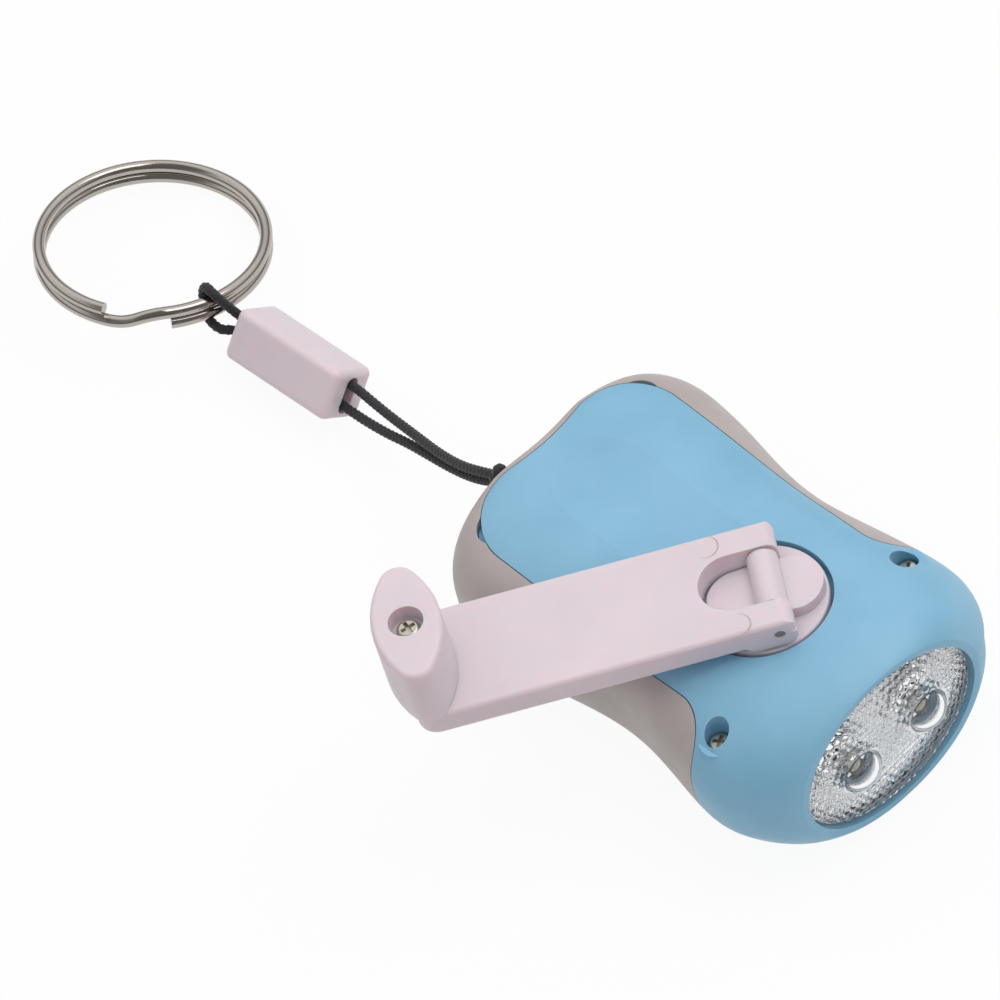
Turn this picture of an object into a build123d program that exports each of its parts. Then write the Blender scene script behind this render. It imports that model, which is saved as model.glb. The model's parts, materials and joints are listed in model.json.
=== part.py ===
from build123d import *
import os
from math import acos, atan2, cos, degrees, dist, pi, radians, sin, sqrt, tan

# Hand crank flashlight on a key ring, in millimetres.
# The origin is on the crank axis, in the plane of the flat underside.
# +X points to the lens, +Z up.  The crank is drawn unfolded, knob up.

# ---------------------------------------------------------------- housing
BACK_X = -41.2            # end of the body behind the crank
FRONT_X = 19.0            # rim round the lens
BODY_HEIGHT = 25.5
BACK_HALF_WIDTH = 20.5
WAIST_HALF_WIDTH = 17.9
WAIST_X = -10.9
HEAD_HALF_WIDTH = 21.3
HEAD_X = 11.8
FOOT_DEPTH = 0.35         # the crowned underside is cut flat by this much
WALL = 1.8
BACK_SHOULDER = 8.5       # the back's full width starts this far in
BACK_ROUND_SIDE = 8.2     # how far the round corners reach along the body, seen from above
BACK_FALL_SIDE = 6.5      # how much narrower the end face is, each side
BACK_ROUND_TOP = 3.6
BACK_FALL_TOP = 2.9
NOSE_ROUND_SIDE = 11.8
NOSE_ROUND_TOP = 8.4
NOSE_FALL_TOP = 1.8
NOSE_TRIM = 0.4           # the nose's rounding is cut off by the rim this far before its end
BODY_FULLNESS = 2.86      # 2 is an ellipse, more is squarer
HEAD_FULLNESS = 2.12
BACK_SOFTENING = 0.5
STATIONS = (              # share of the body's length at each section
    0.0, 0.005, 0.018, 0.04, 0.07, 0.113, 0.183, 0.267, 0.358, 0.45, 0.533,
    0.608, 0.675, 0.742, 0.808, 0.867, 0.917, 0.957, 0.985, 1.0,
)
SECTION_POINTS = 20       # points that each section's curve goes through
SPARE = 5.0               # how far a cutting shape goes past what it cuts
PARTING_GAP = 0.12        # groove that shows between the two shells

PANEL_HALF_WIDTH = 15.2   # the top cover's long panel, seen from above
PANEL_BACK_X = -39.3
PANEL_CORNER = 7.5
PANEL_SEAT_Z = BODY_HEIGHT - 4.9   # ledge that the panel's edge rests on
PARTING_X = 5.5           # the head in front of this is all top cover
PARTING_FLARE = 5.0       # curve that joins the panel's side to the head's edge
FLARE_LAP = 0.5           # how far the flare's wall runs in under the panel's side

NEST_DEPTH = 2.1          # hollow in the back end that the folded knob lies in
NEST_HALF_WIDTH = 9.0
NEST_RIM = 0.9            # rim of the bottom shell left behind the panel there

TROUGH_HALF_WIDTH = 7.7   # shallow dish in the top that the folded arm lies over
TROUGH_DEPTH = 0.5
TROUGH_END_X = -35.0

# ---------------------------------------------------------------- lens and lamps
LENS_HALF_WIDTH = 13.95   # opening in the head
LENS_TO_TOP = 2.0         # opening to the top of the body
LENS_RECESS = 1.2
LENS_THICKNESS = 1.5
LENS_CLEARANCE = 0.15
LENS_FLANGE = 0.6         # how far the flange reaches past the opening
FLANGE_THICKNESS = 0.8
RIM_WIDTH = 0.9           # flat rim beside the opening
LAMP_Y = 5.6
LAMP_RADIUS = 2.5
LAMP_FLANGE_RADIUS = 2.9
LAMP_BASE_X = 10.2
DOME_WALL = 0.6
DOME_CLEARANCE = 0.15
DOME_SINK = 1.2           # centre of each dome behind the lens face
REFLECTOR_THICKNESS = 2.2
REFLECTOR_MOUTH = 5.0
LEAD_SIZE = 0.5
LEAD_PITCH = 2.54

# ---------------------------------------------------------------- crank hub
RECESS_RADIUS = 8.6
RECESS_DEPTH = 2.6
BOSS_WALL = 1.4
BOSS_DEPTH = 1.7
HUB_RADIUS = 8.0
HUB_SINK = 0.3            # hub face below the top of the body
RUNNING_CLEARANCE = 0.2
SHAFT_RADIUS = 2.4
SHAFT_CLEARANCE = 0.1
SQUARE_SIDE = 3.2
TONGUE_WIDTH = 7.8
TONGUE_HEIGHT = 2.0
TONGUE_FRONT = 7.7        # reach of the tongue away from the arm
TONGUE_REAR = 6.8         # reach of the tongue towards the arm
TONGUE_DIP = 0.35
BARREL_RADIUS = 1.95
PIN_RADIUS = 0.7
PIN_CLEARANCE = 0.1
PIN_HEIGHT = 2.7          # pin axis above the hub face
PIN_OFFSET = 0.97         # pin axis beyond the crank axis, away from the arm

# ---------------------------------------------------------------- crank arm and knob
ARM_ANGLE = -123.5        # where the open arm points, from +X
ARM_WIDTH = 15.8
ARM_ABOVE = 2.15          # top of the arm above the pin axis
ARM_BELOW = 1.5
ARM_LENGTH = 44.8         # pin axis to the arm's end
ARM_CORNER = 2.6
ARM_EDGE = 0.6
EAR_REACH = 2.15
EAR_BLOCK = 3.4
EAR_ROUND = 1.5
EAR_CORNER = 0.9
EAR_EASE = 1.0
NOTCH_WIDTH = 8.3
NOTCH_REACH = 8.3
KNOB_REACH = 42.8         # pin axis to the knob's axis
KNOB_WIDTH = 17.2
KNOB_THICKNESS = 8.7
KNOB_END = 2.4
KNOB_HEIGHT = 9.3
KNOB_CLEARANCE = 0.15
KNOB_EDGE = 0.7
KNOB_RECESS_RADIUS = 2.2
KNOB_RECESS_DEPTH = 2.4
KNOB_BORE = 1.15

# ---------------------------------------------------------------- screws
SCREW_HEAD_RADIUS = 1.45
SCREW_HEAD_HEIGHT = 0.95
SCREW_RADIUS = 0.8
CROSS_WIDTH = 0.5
CROSS_DEPTH = 0.6
FRONT_SCREW_X = 7.2
FRONT_SCREW_Y = 16.1
FRONT_SCREW_SEAT = BODY_HEIGHT - 6.7
FRONT_SCREW_LENGTH = 10.0
SCREW_WELL_RADIUS = 1.65
SCREW_BOSS_RADIUS = 2.6
SHELL_JOINT_Z = BODY_HEIGHT / 2 + 1.25   # where the two shells' screw bosses meet
REAR_SCREW_X = -35.2
REAR_SCREW_Y = 12.6
REAR_SCREW_SEAT = 3.2
REAR_SCREW_LENGTH = 14.0
REAR_BOSS_RADIUS = 2.2
TONGUE_PLATE = 1.4        # plate of the bottom shell that lies inside the head

# ---------------------------------------------------------------- gear train
MODULE = 0.5
DRIVE_TEETH = 44
PINION_TEETH = 12
IDLER_TEETH = 36
ADDENDUM = 0.45
DEDENDUM = 0.68
BACKLASH = 0.14           # width taken off each tooth at the pitch circle
GEAR_THICKNESS = 1.4
DRIVE_THICKNESS = 2.0
LAYER_GAP = 0.6           # free height between gears that pass over each other
IDLER_2_ANGLE = 25.0      # idler 2 seen from idler 1, measured from -X
ROTOR_ANGLE = -75.0       # rotor seen from idler 2, measured from +X
AXLE_RADIUS = 0.8
AXLE_CLEARANCE = 0.1
AXLE_STICK_OUT = 0.3
WASHER_RADIUS = 2.6
WASHER_THICKNESS = 0.5
PLATE_THICKNESS = 1.4
PLATE_GAP = 0.6           # gear plate to the lowest gear
PLATE_CORNERS = ((-33.0, -11.2), (-34.0, 9.0), (-29.0, 13.0), (-7.0, 13.0), (-7.0, -13.0), (-29.5, -13.0))
PLATE_POSTS = ((-9.5, -10.6), (-9.5, 10.6), (-31.0, -9.4))
POST_RADIUS = 1.8
PLATE_SCREW_HEAD = 1.3
PLATE_SCREW_HEAD_HEIGHT = 0.6
PLATE_SCREW_LENGTH = 6.0

# ---------------------------------------------------------------- generator
CAN_RADIUS = 7.6
CAN_WALL = 0.6
CAN_HEIGHT = 7.4
POLE_RADIUS = 4.6
POLE_THICKNESS = 0.6
POLES = 4
POLE_SHARE = 0.75         # how much of the circle the poles of both halves fill
MAGNET_RADIUS = 4.2
MAGNET_MARGIN = 1.4
ROTOR_SHAFT_RADIUS = 0.75
BOBBIN_FLANGE = 0.5
COIL_MARGIN = 0.35

# ---------------------------------------------------------------- circuit
BOARD_X = (-9.0, 8.6)
BOARD_HALF_WIDTH = 11.0
BOARD_DROP = 5.0          # gear plate down to the board
BOARD_THICKNESS = 1.0
CELL_RADIUS = 8.0
CELL_THICKNESS = 2.6
CELL_X = -0.5
CELL_GAP = 0.9
CLIP_THICKNESS = 0.3
CLIP_WIDTH = 4.0
CAPACITOR_RADIUS = 1.5
CAPACITOR_HEIGHT = 2.8
CAPACITOR_PLACE = (-6.2, 7.6)
DIODE_RADIUS = 0.7
DIODE_LENGTH = 2.6
DIODE_PITCH = 3.0
DIODE_X = -1.5
WIRE_RADIUS = 0.4

# ---------------------------------------------------------------- cord, bead, ring
CORD_RADIUS = 0.65
CORD_SPACING = 3.0        # between the two strands where they leave the bead for the body
CORD_SPACING_AT_RING = 1.9
HOLE_Y = -4.5             # hole in the nest's wall that the cord comes out of
HOLE_Z = BODY_HEIGHT - 6.0
HOLE_RADIUS = 1.3
BAR_RADIUS = 0.7
BAR_HALF_LENGTH = 3.0
HITCH = (-43.4, -5.0, 18.9)
HITCH_RADIUS = 1.8
BEAD_RING_END = (-95.1, -3.8, 4.55)
BEAD_LENGTH = 17.8
BEAD_YAW = 2.3
BEAD_RISE = 0.5
BEAD_ROLL = 46.5
BEAD_SIDE = 6.9
BEAD_EDGE = 1.0
BEAD_BORE_RADIUS = 1.0
RING_OUTER_RADIUS = 15.05
RING_WIRE_RADIUS = 0.8
RING_WIRE_GAP = 0.08
RING_CENTRE = (-113.8, -2.6)
RING_TILT = 15.2
RING_HIGH_ANGLE = -79.0   # direction from the ring's centre to its highest point
JOGGLE_ANGLE = -49.5      # where the wire steps from one turn to the other
JOGGLE_HALF_SPAN = 15.0
WIRE_END_GAP = 2.0
EYE_ANGLE = -11.0         # where the cord goes round the ring
LOOP_SLACK = 0.4

# ---------------------------------------------------------------- worked out
MID_Z = BODY_HEIGHT / 2 - FOOT_DEPTH / 2
HALF_HEIGHT = BODY_HEIGHT - MID_Z
LENS_HALF_HEIGHT = HALF_HEIGHT - LENS_TO_TOP
RECESS_FLOOR = BODY_HEIGHT - RECESS_DEPTH
BOSS_BOTTOM = RECESS_FLOOR - BOSS_DEPTH
HUB_TOP = BODY_HEIGHT - HUB_SINK
HUB_BOTTOM = RECESS_FLOOR + RUNNING_CLEARANCE
PIN_Z = HUB_TOP + PIN_HEIGHT
SHAFT_BOTTOM = BOSS_BOTTOM - RUNNING_CLEARANCE
DRIVE_BOTTOM = SHAFT_BOTTOM - DRIVE_THICKNESS
IDLER_1_TOP = DRIVE_BOTTOM - LAYER_GAP
IDLER_1_BOTTOM = IDLER_1_TOP - GEAR_THICKNESS
IDLER_2_TOP = IDLER_1_BOTTOM - LAYER_GAP
IDLER_2_BOTTOM = IDLER_2_TOP - GEAR_THICKNESS
PLATE_TOP = IDLER_2_BOTTOM - PLATE_GAP
PLATE_BOTTOM = PLATE_TOP - PLATE_THICKNESS
BOARD_Z = PLATE_BOTTOM - BOARD_DROP
CAN_TOP = PLATE_BOTTOM
CAN_BOTTOM = CAN_TOP - CAN_HEIGHT
NEST_RADIUS = (NEST_HALF_WIDTH**2 + NEST_DEPTH**2) / (2 * NEST_DEPTH)
NEST_X = BACK_X + NEST_DEPTH - NEST_RADIUS
LENS_FACE = FRONT_X - LENS_RECESS
LENS_BACK = LENS_FACE - LENS_THICKNESS
FLANGE_BACK = LENS_BACK - FLANGE_THICKNESS
DOME_CENTRE = LENS_FACE - DOME_SINK
DRIVE_TO_IDLER = MODULE * (DRIVE_TEETH + PINION_TEETH) / 2
IDLER_TO_NEXT = MODULE * (IDLER_TEETH + PINION_TEETH) / 2
IDLER_1_AT = Vector(-DRIVE_TO_IDLER, 0)
IDLER_2_AT = IDLER_1_AT + Vector(-IDLER_TO_NEXT, 0).rotate(Axis.Z, -IDLER_2_ANGLE)
ROTOR_AT = IDLER_2_AT + Vector(IDLER_TO_NEXT, 0).rotate(Axis.Z, ROTOR_ANGLE)
ARM_DIRECTION = Vector(1, 0).rotate(Axis.Z, ARM_ANGLE)
PIN_AT = ARM_DIRECTION * -PIN_OFFSET
ARM_FRAME = Pos(PIN_AT.X, PIN_AT.Y, PIN_Z) * Rot(0, 0, ARM_ANGLE)
KNOB_BOTTOM = ARM_ABOVE + KNOB_CLEARANCE
KNOB_TOP = KNOB_BOTTOM + KNOB_HEIGHT
KNOB_SCREW_TIP = 0.6 - ARM_BELOW
BEAD_FRAME = Pos(*BEAD_RING_END) * Rot(0, 0, BEAD_YAW) * Rot(0, -BEAD_RISE, 0) * Rot(BEAD_ROLL, 0, 0)
RING_RADIUS = RING_OUTER_RADIUS - RING_WIRE_RADIUS
RING_STEP = RING_WIRE_RADIUS + RING_WIRE_GAP / 2
RING_Z = RING_OUTER_RADIUS * sin(radians(RING_TILT)) + (RING_WIRE_RADIUS + RING_STEP) * cos(radians(RING_TILT))
RING_FRAME = (
    Pos(RING_CENTRE[0], RING_CENTRE[1], RING_Z)
    * Rot(0, 0, RING_HIGH_ANGLE)
    * Rot(0, -RING_TILT, 0)
    * Rot(0, 0, -RING_HIGH_ANGLE)
)


# ================================================================ helpers
def rod(radius, bottom, top, place=(0, 0)):
    """A vertical cylinder between two heights."""
    at = Pos(place[0], place[1], bottom)
    return at * Cylinder(radius, top - bottom, align=(Align.CENTER, Align.CENTER, Align.MIN))


def tube(outer, inner, bottom, top, place=(0, 0)):
    """A vertical ring between two heights."""
    return rod(outer, bottom, top, place) - rod(inner, bottom - 1, top + 1, place)


def block(x, y, z):
    """A box given by its limits along each axis."""
    middle = Pos((x[0] + x[1]) / 2, (y[0] + y[1]) / 2, (z[0] + z[1]) / 2)
    return middle * Box(x[1] - x[0], y[1] - y[0], z[1] - z[0])


def ellipse_slab(half_width, half_height, back, front):
    """An upright elliptical plate that faces +X."""
    plane = Plane(origin=(back, 0, MID_Z), x_dir=(0, 1, 0), z_dir=(1, 0, 0))
    return extrude(plane * Ellipse(half_width, half_height), front - back)


def bullet(radius, back, centre):
    """A rod along +X with a round nose, its axis on the X axis."""
    with BuildSketch(Plane.XY) as half:
        with BuildLine():
            Line((back, 0), (back, radius))
            Line((back, radius), (centre, radius))
            ThreePointArc((centre, radius), (centre + radius * sin(pi / 4), radius * cos(pi / 4)), (centre + radius, 0))
            Line((centre + radius, 0), (back, 0))
        make_face()
    return revolve(half.sketch, Axis.X)


def screw(head_z, length, head_up=True, head_radius=SCREW_HEAD_RADIUS, head_height=SCREW_HEAD_HEIGHT):
    """A cross-head screw on the Z axis; head_z is the plane under its head."""
    head = rod(head_radius, 0, head_height)
    head = fillet(head.edges().sort_by(Axis.Z)[-1], head_height * 0.45)
    slot = Pos(0, 0, head_height - CROSS_DEPTH / 2)
    arm = 1.3 * head_radius
    head -= slot * Box(arm, CROSS_WIDTH, CROSS_DEPTH)
    head -= slot * Box(CROSS_WIDTH, arm, CROSS_DEPTH)
    body = head + rod(SCREW_RADIUS, -length, 0)
    if not head_up:
        body = Rot(180, 0, 0) * body
    return Pos(0, 0, head_z) * body


def gear(teeth, tooth_angle, bottom, thickness, bore=0.0):
    """A spur gear with involute flanks; one tooth points along tooth_angle."""
    pitch = MODULE * teeth / 2
    base = pitch * cos(radians(20))
    tip = pitch + ADDENDUM
    root = pitch - DEDENDUM

    def flank(radius):
        """Half the angle of a tooth at a radius."""
        at = max(radius, base)
        alpha = acos(base / at)
        alpha_pitch = radians(20)
        half = (pi * MODULE / 2 - BACKLASH) / (2 * pitch)
        return half + (tan(alpha_pitch) - alpha_pitch) - (tan(alpha) - alpha)

    radii = (root, pitch, tip)
    points = []
    for number in range(teeth):
        centre = radians(tooth_angle) + 2 * pi * number / teeth
        rising = [(radius, centre - flank(radius)) for radius in radii]
        falling = [(radius, centre + flank(radius)) for radius in reversed(radii)]
        points += [(radius * cos(angle), radius * sin(angle)) for radius, angle in rising + falling]
    body = extrude(make_face(Polyline(*points, close=True)), thickness)
    if bore:
        body -= rod(bore, -1, thickness + 1)
    return Pos(0, 0, bottom) * body


# ================================================================ housing
def ease(x, start, end):
    """Half a cosine wave that rises from 0 to 1 between two places."""
    share = min(max((x - start) / (end - start), 0.0), 1.0)
    return (1 - cos(pi * share)) / 2


def rounding(distance, reach):
    """Share of a round end's fall that is left at a distance from the end."""
    share = min(max(1 - distance / reach, 0.0), 1.0)
    return 1 - sqrt(1 - share**2)


def body_stations(inset=0.0):
    """Stations along the body: x, half width, half height and fullness of the section."""
    rows = []
    nose_fall = (HEAD_HALF_WIDTH - LENS_HALF_WIDTH - RIM_WIDTH) / rounding(NOSE_TRIM, NOSE_ROUND_SIDE)
    for share in STATIONS:
        x = BACK_X + share * (FRONT_X - BACK_X)
        from_back = x - BACK_X
        from_front = FRONT_X - x
        width = WAIST_HALF_WIDTH
        width += (BACK_HALF_WIDTH - WAIST_HALF_WIDTH) * (1 - ease(x, BACK_X + BACK_SHOULDER, WAIST_X))
        width += (HEAD_HALF_WIDTH - WAIST_HALF_WIDTH) * ease(x, WAIST_X, HEAD_X)
        width -= BACK_FALL_SIDE * rounding(from_back, BACK_ROUND_SIDE)
        width -= nose_fall * rounding(from_front + NOSE_TRIM, NOSE_ROUND_SIDE)
        height = HALF_HEIGHT
        height -= BACK_FALL_TOP * rounding(from_back, BACK_ROUND_TOP)
        height -= NOSE_FALL_TOP * rounding(from_front + NOSE_TRIM, NOSE_ROUND_TOP)
        fullness = BODY_FULLNESS - (BODY_FULLNESS - HEAD_FULLNESS) * ease(x, WAIST_X + 4, HEAD_X + 3)
        fullness -= BACK_SOFTENING * rounding(from_back, BACK_SHOULDER)
        inward = inset * (1 - ease(x, BACK_X, BACK_X + BACK_SHOULDER))
        rows.append((x + inward, width - inset, height - inset, fullness))
    return rows


def section_points(half_width, half_height, fullness):
    """Points round a pillow-shaped section, across and up from its middle."""
    points = []
    for number in range(SECTION_POINTS):
        angle = 2 * pi * number / SECTION_POINTS
        across = abs(cos(angle)) ** (2 / fullness) * (1 if cos(angle) >= 0 else -1)
        up = abs(sin(angle)) ** (2 / fullness) * (1 if sin(angle) >= 0 else -1)
        points.append((half_width * across, half_height * up))
    return points


def section_knots():
    """Share of the way round at each point of the waist's section; all sections use these."""
    points = section_points(WAIST_HALF_WIDTH, HALF_HEIGHT, BODY_FULLNESS)
    steps = [dist(one, other) for one, other in zip(points, points[1:] + points[:1])]
    return [sum(steps[:number]) / sum(steps) for number in range(len(steps) + 1)]


def section(x, half_width, half_height, fullness):
    """A closed pillow-shaped section across the body."""
    points = section_points(half_width, half_height, fullness)
    places = [Vector(x, across, MID_Z + up) for across, up in points]
    return Wire([Edge.make_spline(places, periodic=True, parameters=section_knots())])


def nest_cutter(offset=0.0):
    """The round hollow in the back end, offset into the body."""
    return rod(NEST_RADIUS + offset, -SPARE, BODY_HEIGHT + SPARE, (NEST_X, 0))


def body_solid():
    """The outside of the whole body, flat underneath."""
    outer = Solid.make_loft([section(*row) for row in body_stations()])
    side = HEAD_HALF_WIDTH + SPARE
    outer = outer & block((BACK_X - SPARE, FRONT_X + SPARE), (-side, side), (0, BODY_HEIGHT + SPARE))
    return outer - nest_cutter()


def cavity_solid(inset=WALL):
    """The hollow inside the body, an even wall within the outside."""
    rows = [row for row in body_stations(inset) if row[0] < FLANGE_BACK]
    inner = Solid.make_loft([section(*row) for row in rows])
    side = HEAD_HALF_WIDTH + SPARE
    floor = inset - FOOT_DEPTH
    inner = inner & block((BACK_X, FRONT_X), (-side, side), (floor, BODY_HEIGHT))
    return inner - nest_cutter(inset)


def cover_region(gap=0.0):
    """The space of the top cover, in four pieces: panel, head and a flare down each side."""
    half = PANEL_HALF_WIDTH + gap
    with BuildSketch() as sketch:
        with BuildLine():
            left = PANEL_BACK_X - gap
            FilletPolyline(
                (PARTING_X + 1, half), (left, half), (left, -half), (PARTING_X + 1, -half),
                radius=[PANEL_CORNER + gap, PANEL_CORNER + gap],
            )
            Line((PARTING_X + 1, -half), (PARTING_X + 1, half))
        make_face()
    panel = Pos(0, 0, PANEL_SEAT_Z) * extrude(sketch.sketch, BODY_HEIGHT)
    panel -= rod(NEST_RADIUS + NEST_RIM - gap, 0, BODY_HEIGHT * 3, (NEST_X, 0))
    side = HEAD_HALF_WIDTH + SPARE
    head = block((PARTING_X - gap, FRONT_X + SPARE), (-side, side), (-SPARE, BODY_HEIGHT + SPARE))
    pieces = [panel, head]
    radius = PARTING_FLARE - gap
    for side in (1, -1):
        corner = block(
            (PARTING_X - gap - radius, PARTING_X + 0.5),
            sorted((side * (half - 2 * gap - FLARE_LAP), side * (half + radius))),
            (MID_Z + 1, BODY_HEIGHT + SPARE),
        )
        centre = (PARTING_X - gap - radius, side * (half + radius))
        corner -= rod(radius, 0, BODY_HEIGHT + 2 * SPARE, centre)
        pieces.append(corner)
    return pieces


def trough_cutter():
    """A very shallow dish with a rounded end, behind the hub."""
    radius = (TROUGH_HALF_WIDTH**2 + TROUGH_DEPTH**2) / (2 * TROUGH_DEPTH)
    height = BODY_HEIGHT - TROUGH_DEPTH + radius
    end = TROUGH_END_X + TROUGH_HALF_WIDTH
    long = Pos(end / 2, 0, height) * Rot(0, 90, 0) * Cylinder(radius, -end)
    return long + Pos(end, 0, height) * Sphere(radius)


def screw_places(x, y):
    """A pair of places, one on each side."""
    return ((x, y), (x, -y))


def make_top_cover(outside, hollow):
    """Blue cover: panel, hub recess, screw wells and the ring round the lens."""
    panel, head, *flares = cover_region()
    wall = outside - hollow
    pocket_width = LENS_HALF_WIDTH + LENS_FLANGE + LENS_CLEARANCE
    pocket_height = LENS_HALF_HEIGHT + LENS_FLANGE + LENS_CLEARANCE
    cover = (wall & panel) + (wall & head)
    for flare in flares:
        cover += wall & flare
    cover -= ellipse_slab(pocket_width, pocket_height, FLANGE_BACK - REFLECTOR_THICKNESS, LENS_BACK)
    cover -= ellipse_slab(LENS_HALF_WIDTH, LENS_HALF_HEIGHT, LENS_BACK - 1, FRONT_X + 1)
    solid = rod(RECESS_RADIUS + BOSS_WALL, RECESS_FLOOR - BOSS_WALL, BODY_HEIGHT - WALL / 2)
    solid += rod(SHAFT_RADIUS + 2 * BOSS_WALL, BOSS_BOTTOM, BODY_HEIGHT - WALL / 2)
    for place in screw_places(FRONT_SCREW_X, FRONT_SCREW_Y):
        solid += rod(SCREW_BOSS_RADIUS, SHELL_JOINT_Z, FRONT_SCREW_SEAT + BOSS_WALL, place)
    solid += front_boss_caps() & outside
    for place in screw_places(REAR_SCREW_X, REAR_SCREW_Y):
        solid += rod(REAR_BOSS_RADIUS, SHELL_JOINT_Z, PANEL_SEAT_Z + WALL, place)
    cover += solid
    cover -= rod(RECESS_RADIUS, RECESS_FLOOR, BODY_HEIGHT + 1)
    cover -= rod(SHAFT_RADIUS + SHAFT_CLEARANCE, BOSS_BOTTOM - 1, BODY_HEIGHT)
    for place in screw_places(FRONT_SCREW_X, FRONT_SCREW_Y):
        cover -= rod(SCREW_WELL_RADIUS, FRONT_SCREW_SEAT, BODY_HEIGHT + 1, place)
        cover -= rod(SCREW_RADIUS + SHAFT_CLEARANCE, SHELL_JOINT_Z - 1, BODY_HEIGHT, place)
    for place in screw_places(REAR_SCREW_X, REAR_SCREW_Y):
        cover -= rod(SCREW_RADIUS, SHELL_JOINT_Z - 1, REAR_SCREW_SEAT + REAR_SCREW_LENGTH, place)
    return cover - trough_cutter()


def front_boss_caps():
    """The tops of the two front bosses, before the head's surface trims them."""
    low = FRONT_SCREW_SEAT - 0.1
    first, second = screw_places(FRONT_SCREW_X, FRONT_SCREW_Y)
    return rod(SCREW_BOSS_RADIUS, low, BODY_HEIGHT, first) + rod(SCREW_BOSS_RADIUS, low, BODY_HEIGHT, second)


def make_bottom_shell(outside, hollow, inside):
    """Grey shell: sides, underside, bosses, gear plate posts and the tongue under the head."""
    floor = WALL - FOOT_DEPTH
    shell = outside - hollow
    for piece in cover_region(PARTING_GAP):
        shell -= piece
    half = HEAD_HALF_WIDTH
    reach = FRONT_SCREW_X + SCREW_BOSS_RADIUS
    within = block((PARTING_X - PARTING_FLARE, reach), (-half, half), (floor, floor + TONGUE_PLATE))
    for x, y in screw_places(FRONT_SCREW_X, FRONT_SCREW_Y):
        within += rod(SCREW_BOSS_RADIUS, floor, SHELL_JOINT_Z, (x, y))
        web = sorted((y, y * 0.5))
        within += block((x - BOSS_WALL / 2, x + BOSS_WALL / 2), web, (floor, BOARD_Z - RUNNING_CLEARANCE))
    shell += within & inside
    lap = block((PARTING_X - PARTING_FLARE, PARTING_X - 1), (-half / 2, half / 2), (floor - 0.3, floor + TONGUE_PLATE))
    shell += lap
    for place in screw_places(REAR_SCREW_X, REAR_SCREW_Y):
        shell += rod(REAR_BOSS_RADIUS, REAR_SCREW_SEAT - BOSS_WALL, SHELL_JOINT_Z, place)
        shell -= rod(REAR_BOSS_RADIUS + SHAFT_CLEARANCE, SHELL_JOINT_Z, BODY_HEIGHT, place)
    for place in PLATE_POSTS:
        shell += rod(POST_RADIUS, floor - 0.3, PLATE_BOTTOM, place)
    for place in screw_places(FRONT_SCREW_X, FRONT_SCREW_Y):
        shell -= rod(SCREW_BOSS_RADIUS + SHAFT_CLEARANCE, SHELL_JOINT_Z, BODY_HEIGHT, place)
        shell -= rod(SCREW_RADIUS, FRONT_SCREW_SEAT - FRONT_SCREW_LENGTH, SHELL_JOINT_Z + 1, place)
    for place in screw_places(REAR_SCREW_X, REAR_SCREW_Y):
        shell -= rod(SCREW_WELL_RADIUS, -1, REAR_SCREW_SEAT, place)
        shell -= rod(SCREW_RADIUS + SHAFT_CLEARANCE, 0, SHELL_JOINT_Z + 1, place)
    for place in PLATE_POSTS:
        shell -= rod(SCREW_RADIUS, PLATE_TOP - PLATE_SCREW_LENGTH, PLATE_BOTTOM + 1, place)
    hole = Pos(BACK_X, HOLE_Y, HOLE_Z) * Rot(0, 90, 0) * Cylinder(HOLE_RADIUS, 12)
    return shell - hole


# ================================================================ lens and lamps
def lamp_places():
    """The two lamp axes."""
    return (Pos(0, LAMP_Y, MID_Z), Pos(0, -LAMP_Y, MID_Z))


def make_lens():
    """Clear lens with a flange behind the rim and a dome over each lamp."""
    width = LENS_HALF_WIDTH - LENS_CLEARANCE
    height = LENS_HALF_HEIGHT - LENS_CLEARANCE
    lens = ellipse_slab(width, height, LENS_BACK, LENS_FACE)
    lens += ellipse_slab(
        LENS_HALF_WIDTH + LENS_FLANGE, LENS_HALF_HEIGHT + LENS_FLANGE, FLANGE_BACK, LENS_BACK
    )
    bore = LAMP_RADIUS + DOME_CLEARANCE
    for place in lamp_places():
        lens += place * bullet(bore + DOME_WALL, FLANGE_BACK, DOME_CENTRE)
    for place in lamp_places():
        lens -= place * bullet(bore, FLANGE_BACK - 1, DOME_CENTRE)
    return lens


def make_reflector():
    """Bright plate behind the lens, with a conical well round each lamp."""
    back = FLANGE_BACK - REFLECTOR_THICKNESS
    plate = ellipse_slab(
        LENS_HALF_WIDTH + LENS_FLANGE, LENS_HALF_HEIGHT + LENS_FLANGE, back, FLANGE_BACK
    )
    small = LAMP_RADIUS + DOME_CLEARANCE
    for place in lamp_places():
        well = Cone(small, REFLECTOR_MOUTH, REFLECTOR_THICKNESS + 0.02)
        plate -= place * Pos((back + FLANGE_BACK) / 2, 0, 0) * Rot(0, 90, 0) * well
    return plate


def make_led_lamps():
    """Two 5 mm lamps: flange, body and round nose."""
    lamp = bullet(LAMP_RADIUS, LAMP_BASE_X, DOME_CENTRE)
    flange = Pos(LAMP_BASE_X + 0.5, 0, 0) * Rot(0, 90, 0) * Cylinder(LAMP_FLANGE_RADIUS, 1.0)
    return [place * (lamp + flange) for place in lamp_places()]


def make_led_leads():
    """Four square leads, bent down from the lamps into the board."""
    leads = []
    half = LEAD_SIZE / 2
    for lamp_y in (LAMP_Y, -LAMP_Y):
        for side in (-0.5, 0.5):
            y = lamp_y + side * LEAD_PITCH
            bend = BOARD_X[1] - 1.2
            lead = block((bend - half, LAMP_BASE_X), (y - half, y + half), (MID_Z - half, MID_Z + half))
            lead += block((bend - half, bend + half), (y - half, y + half), (BOARD_Z + BOARD_THICKNESS, MID_Z + half))
            leads.append(lead)
    return leads


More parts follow.
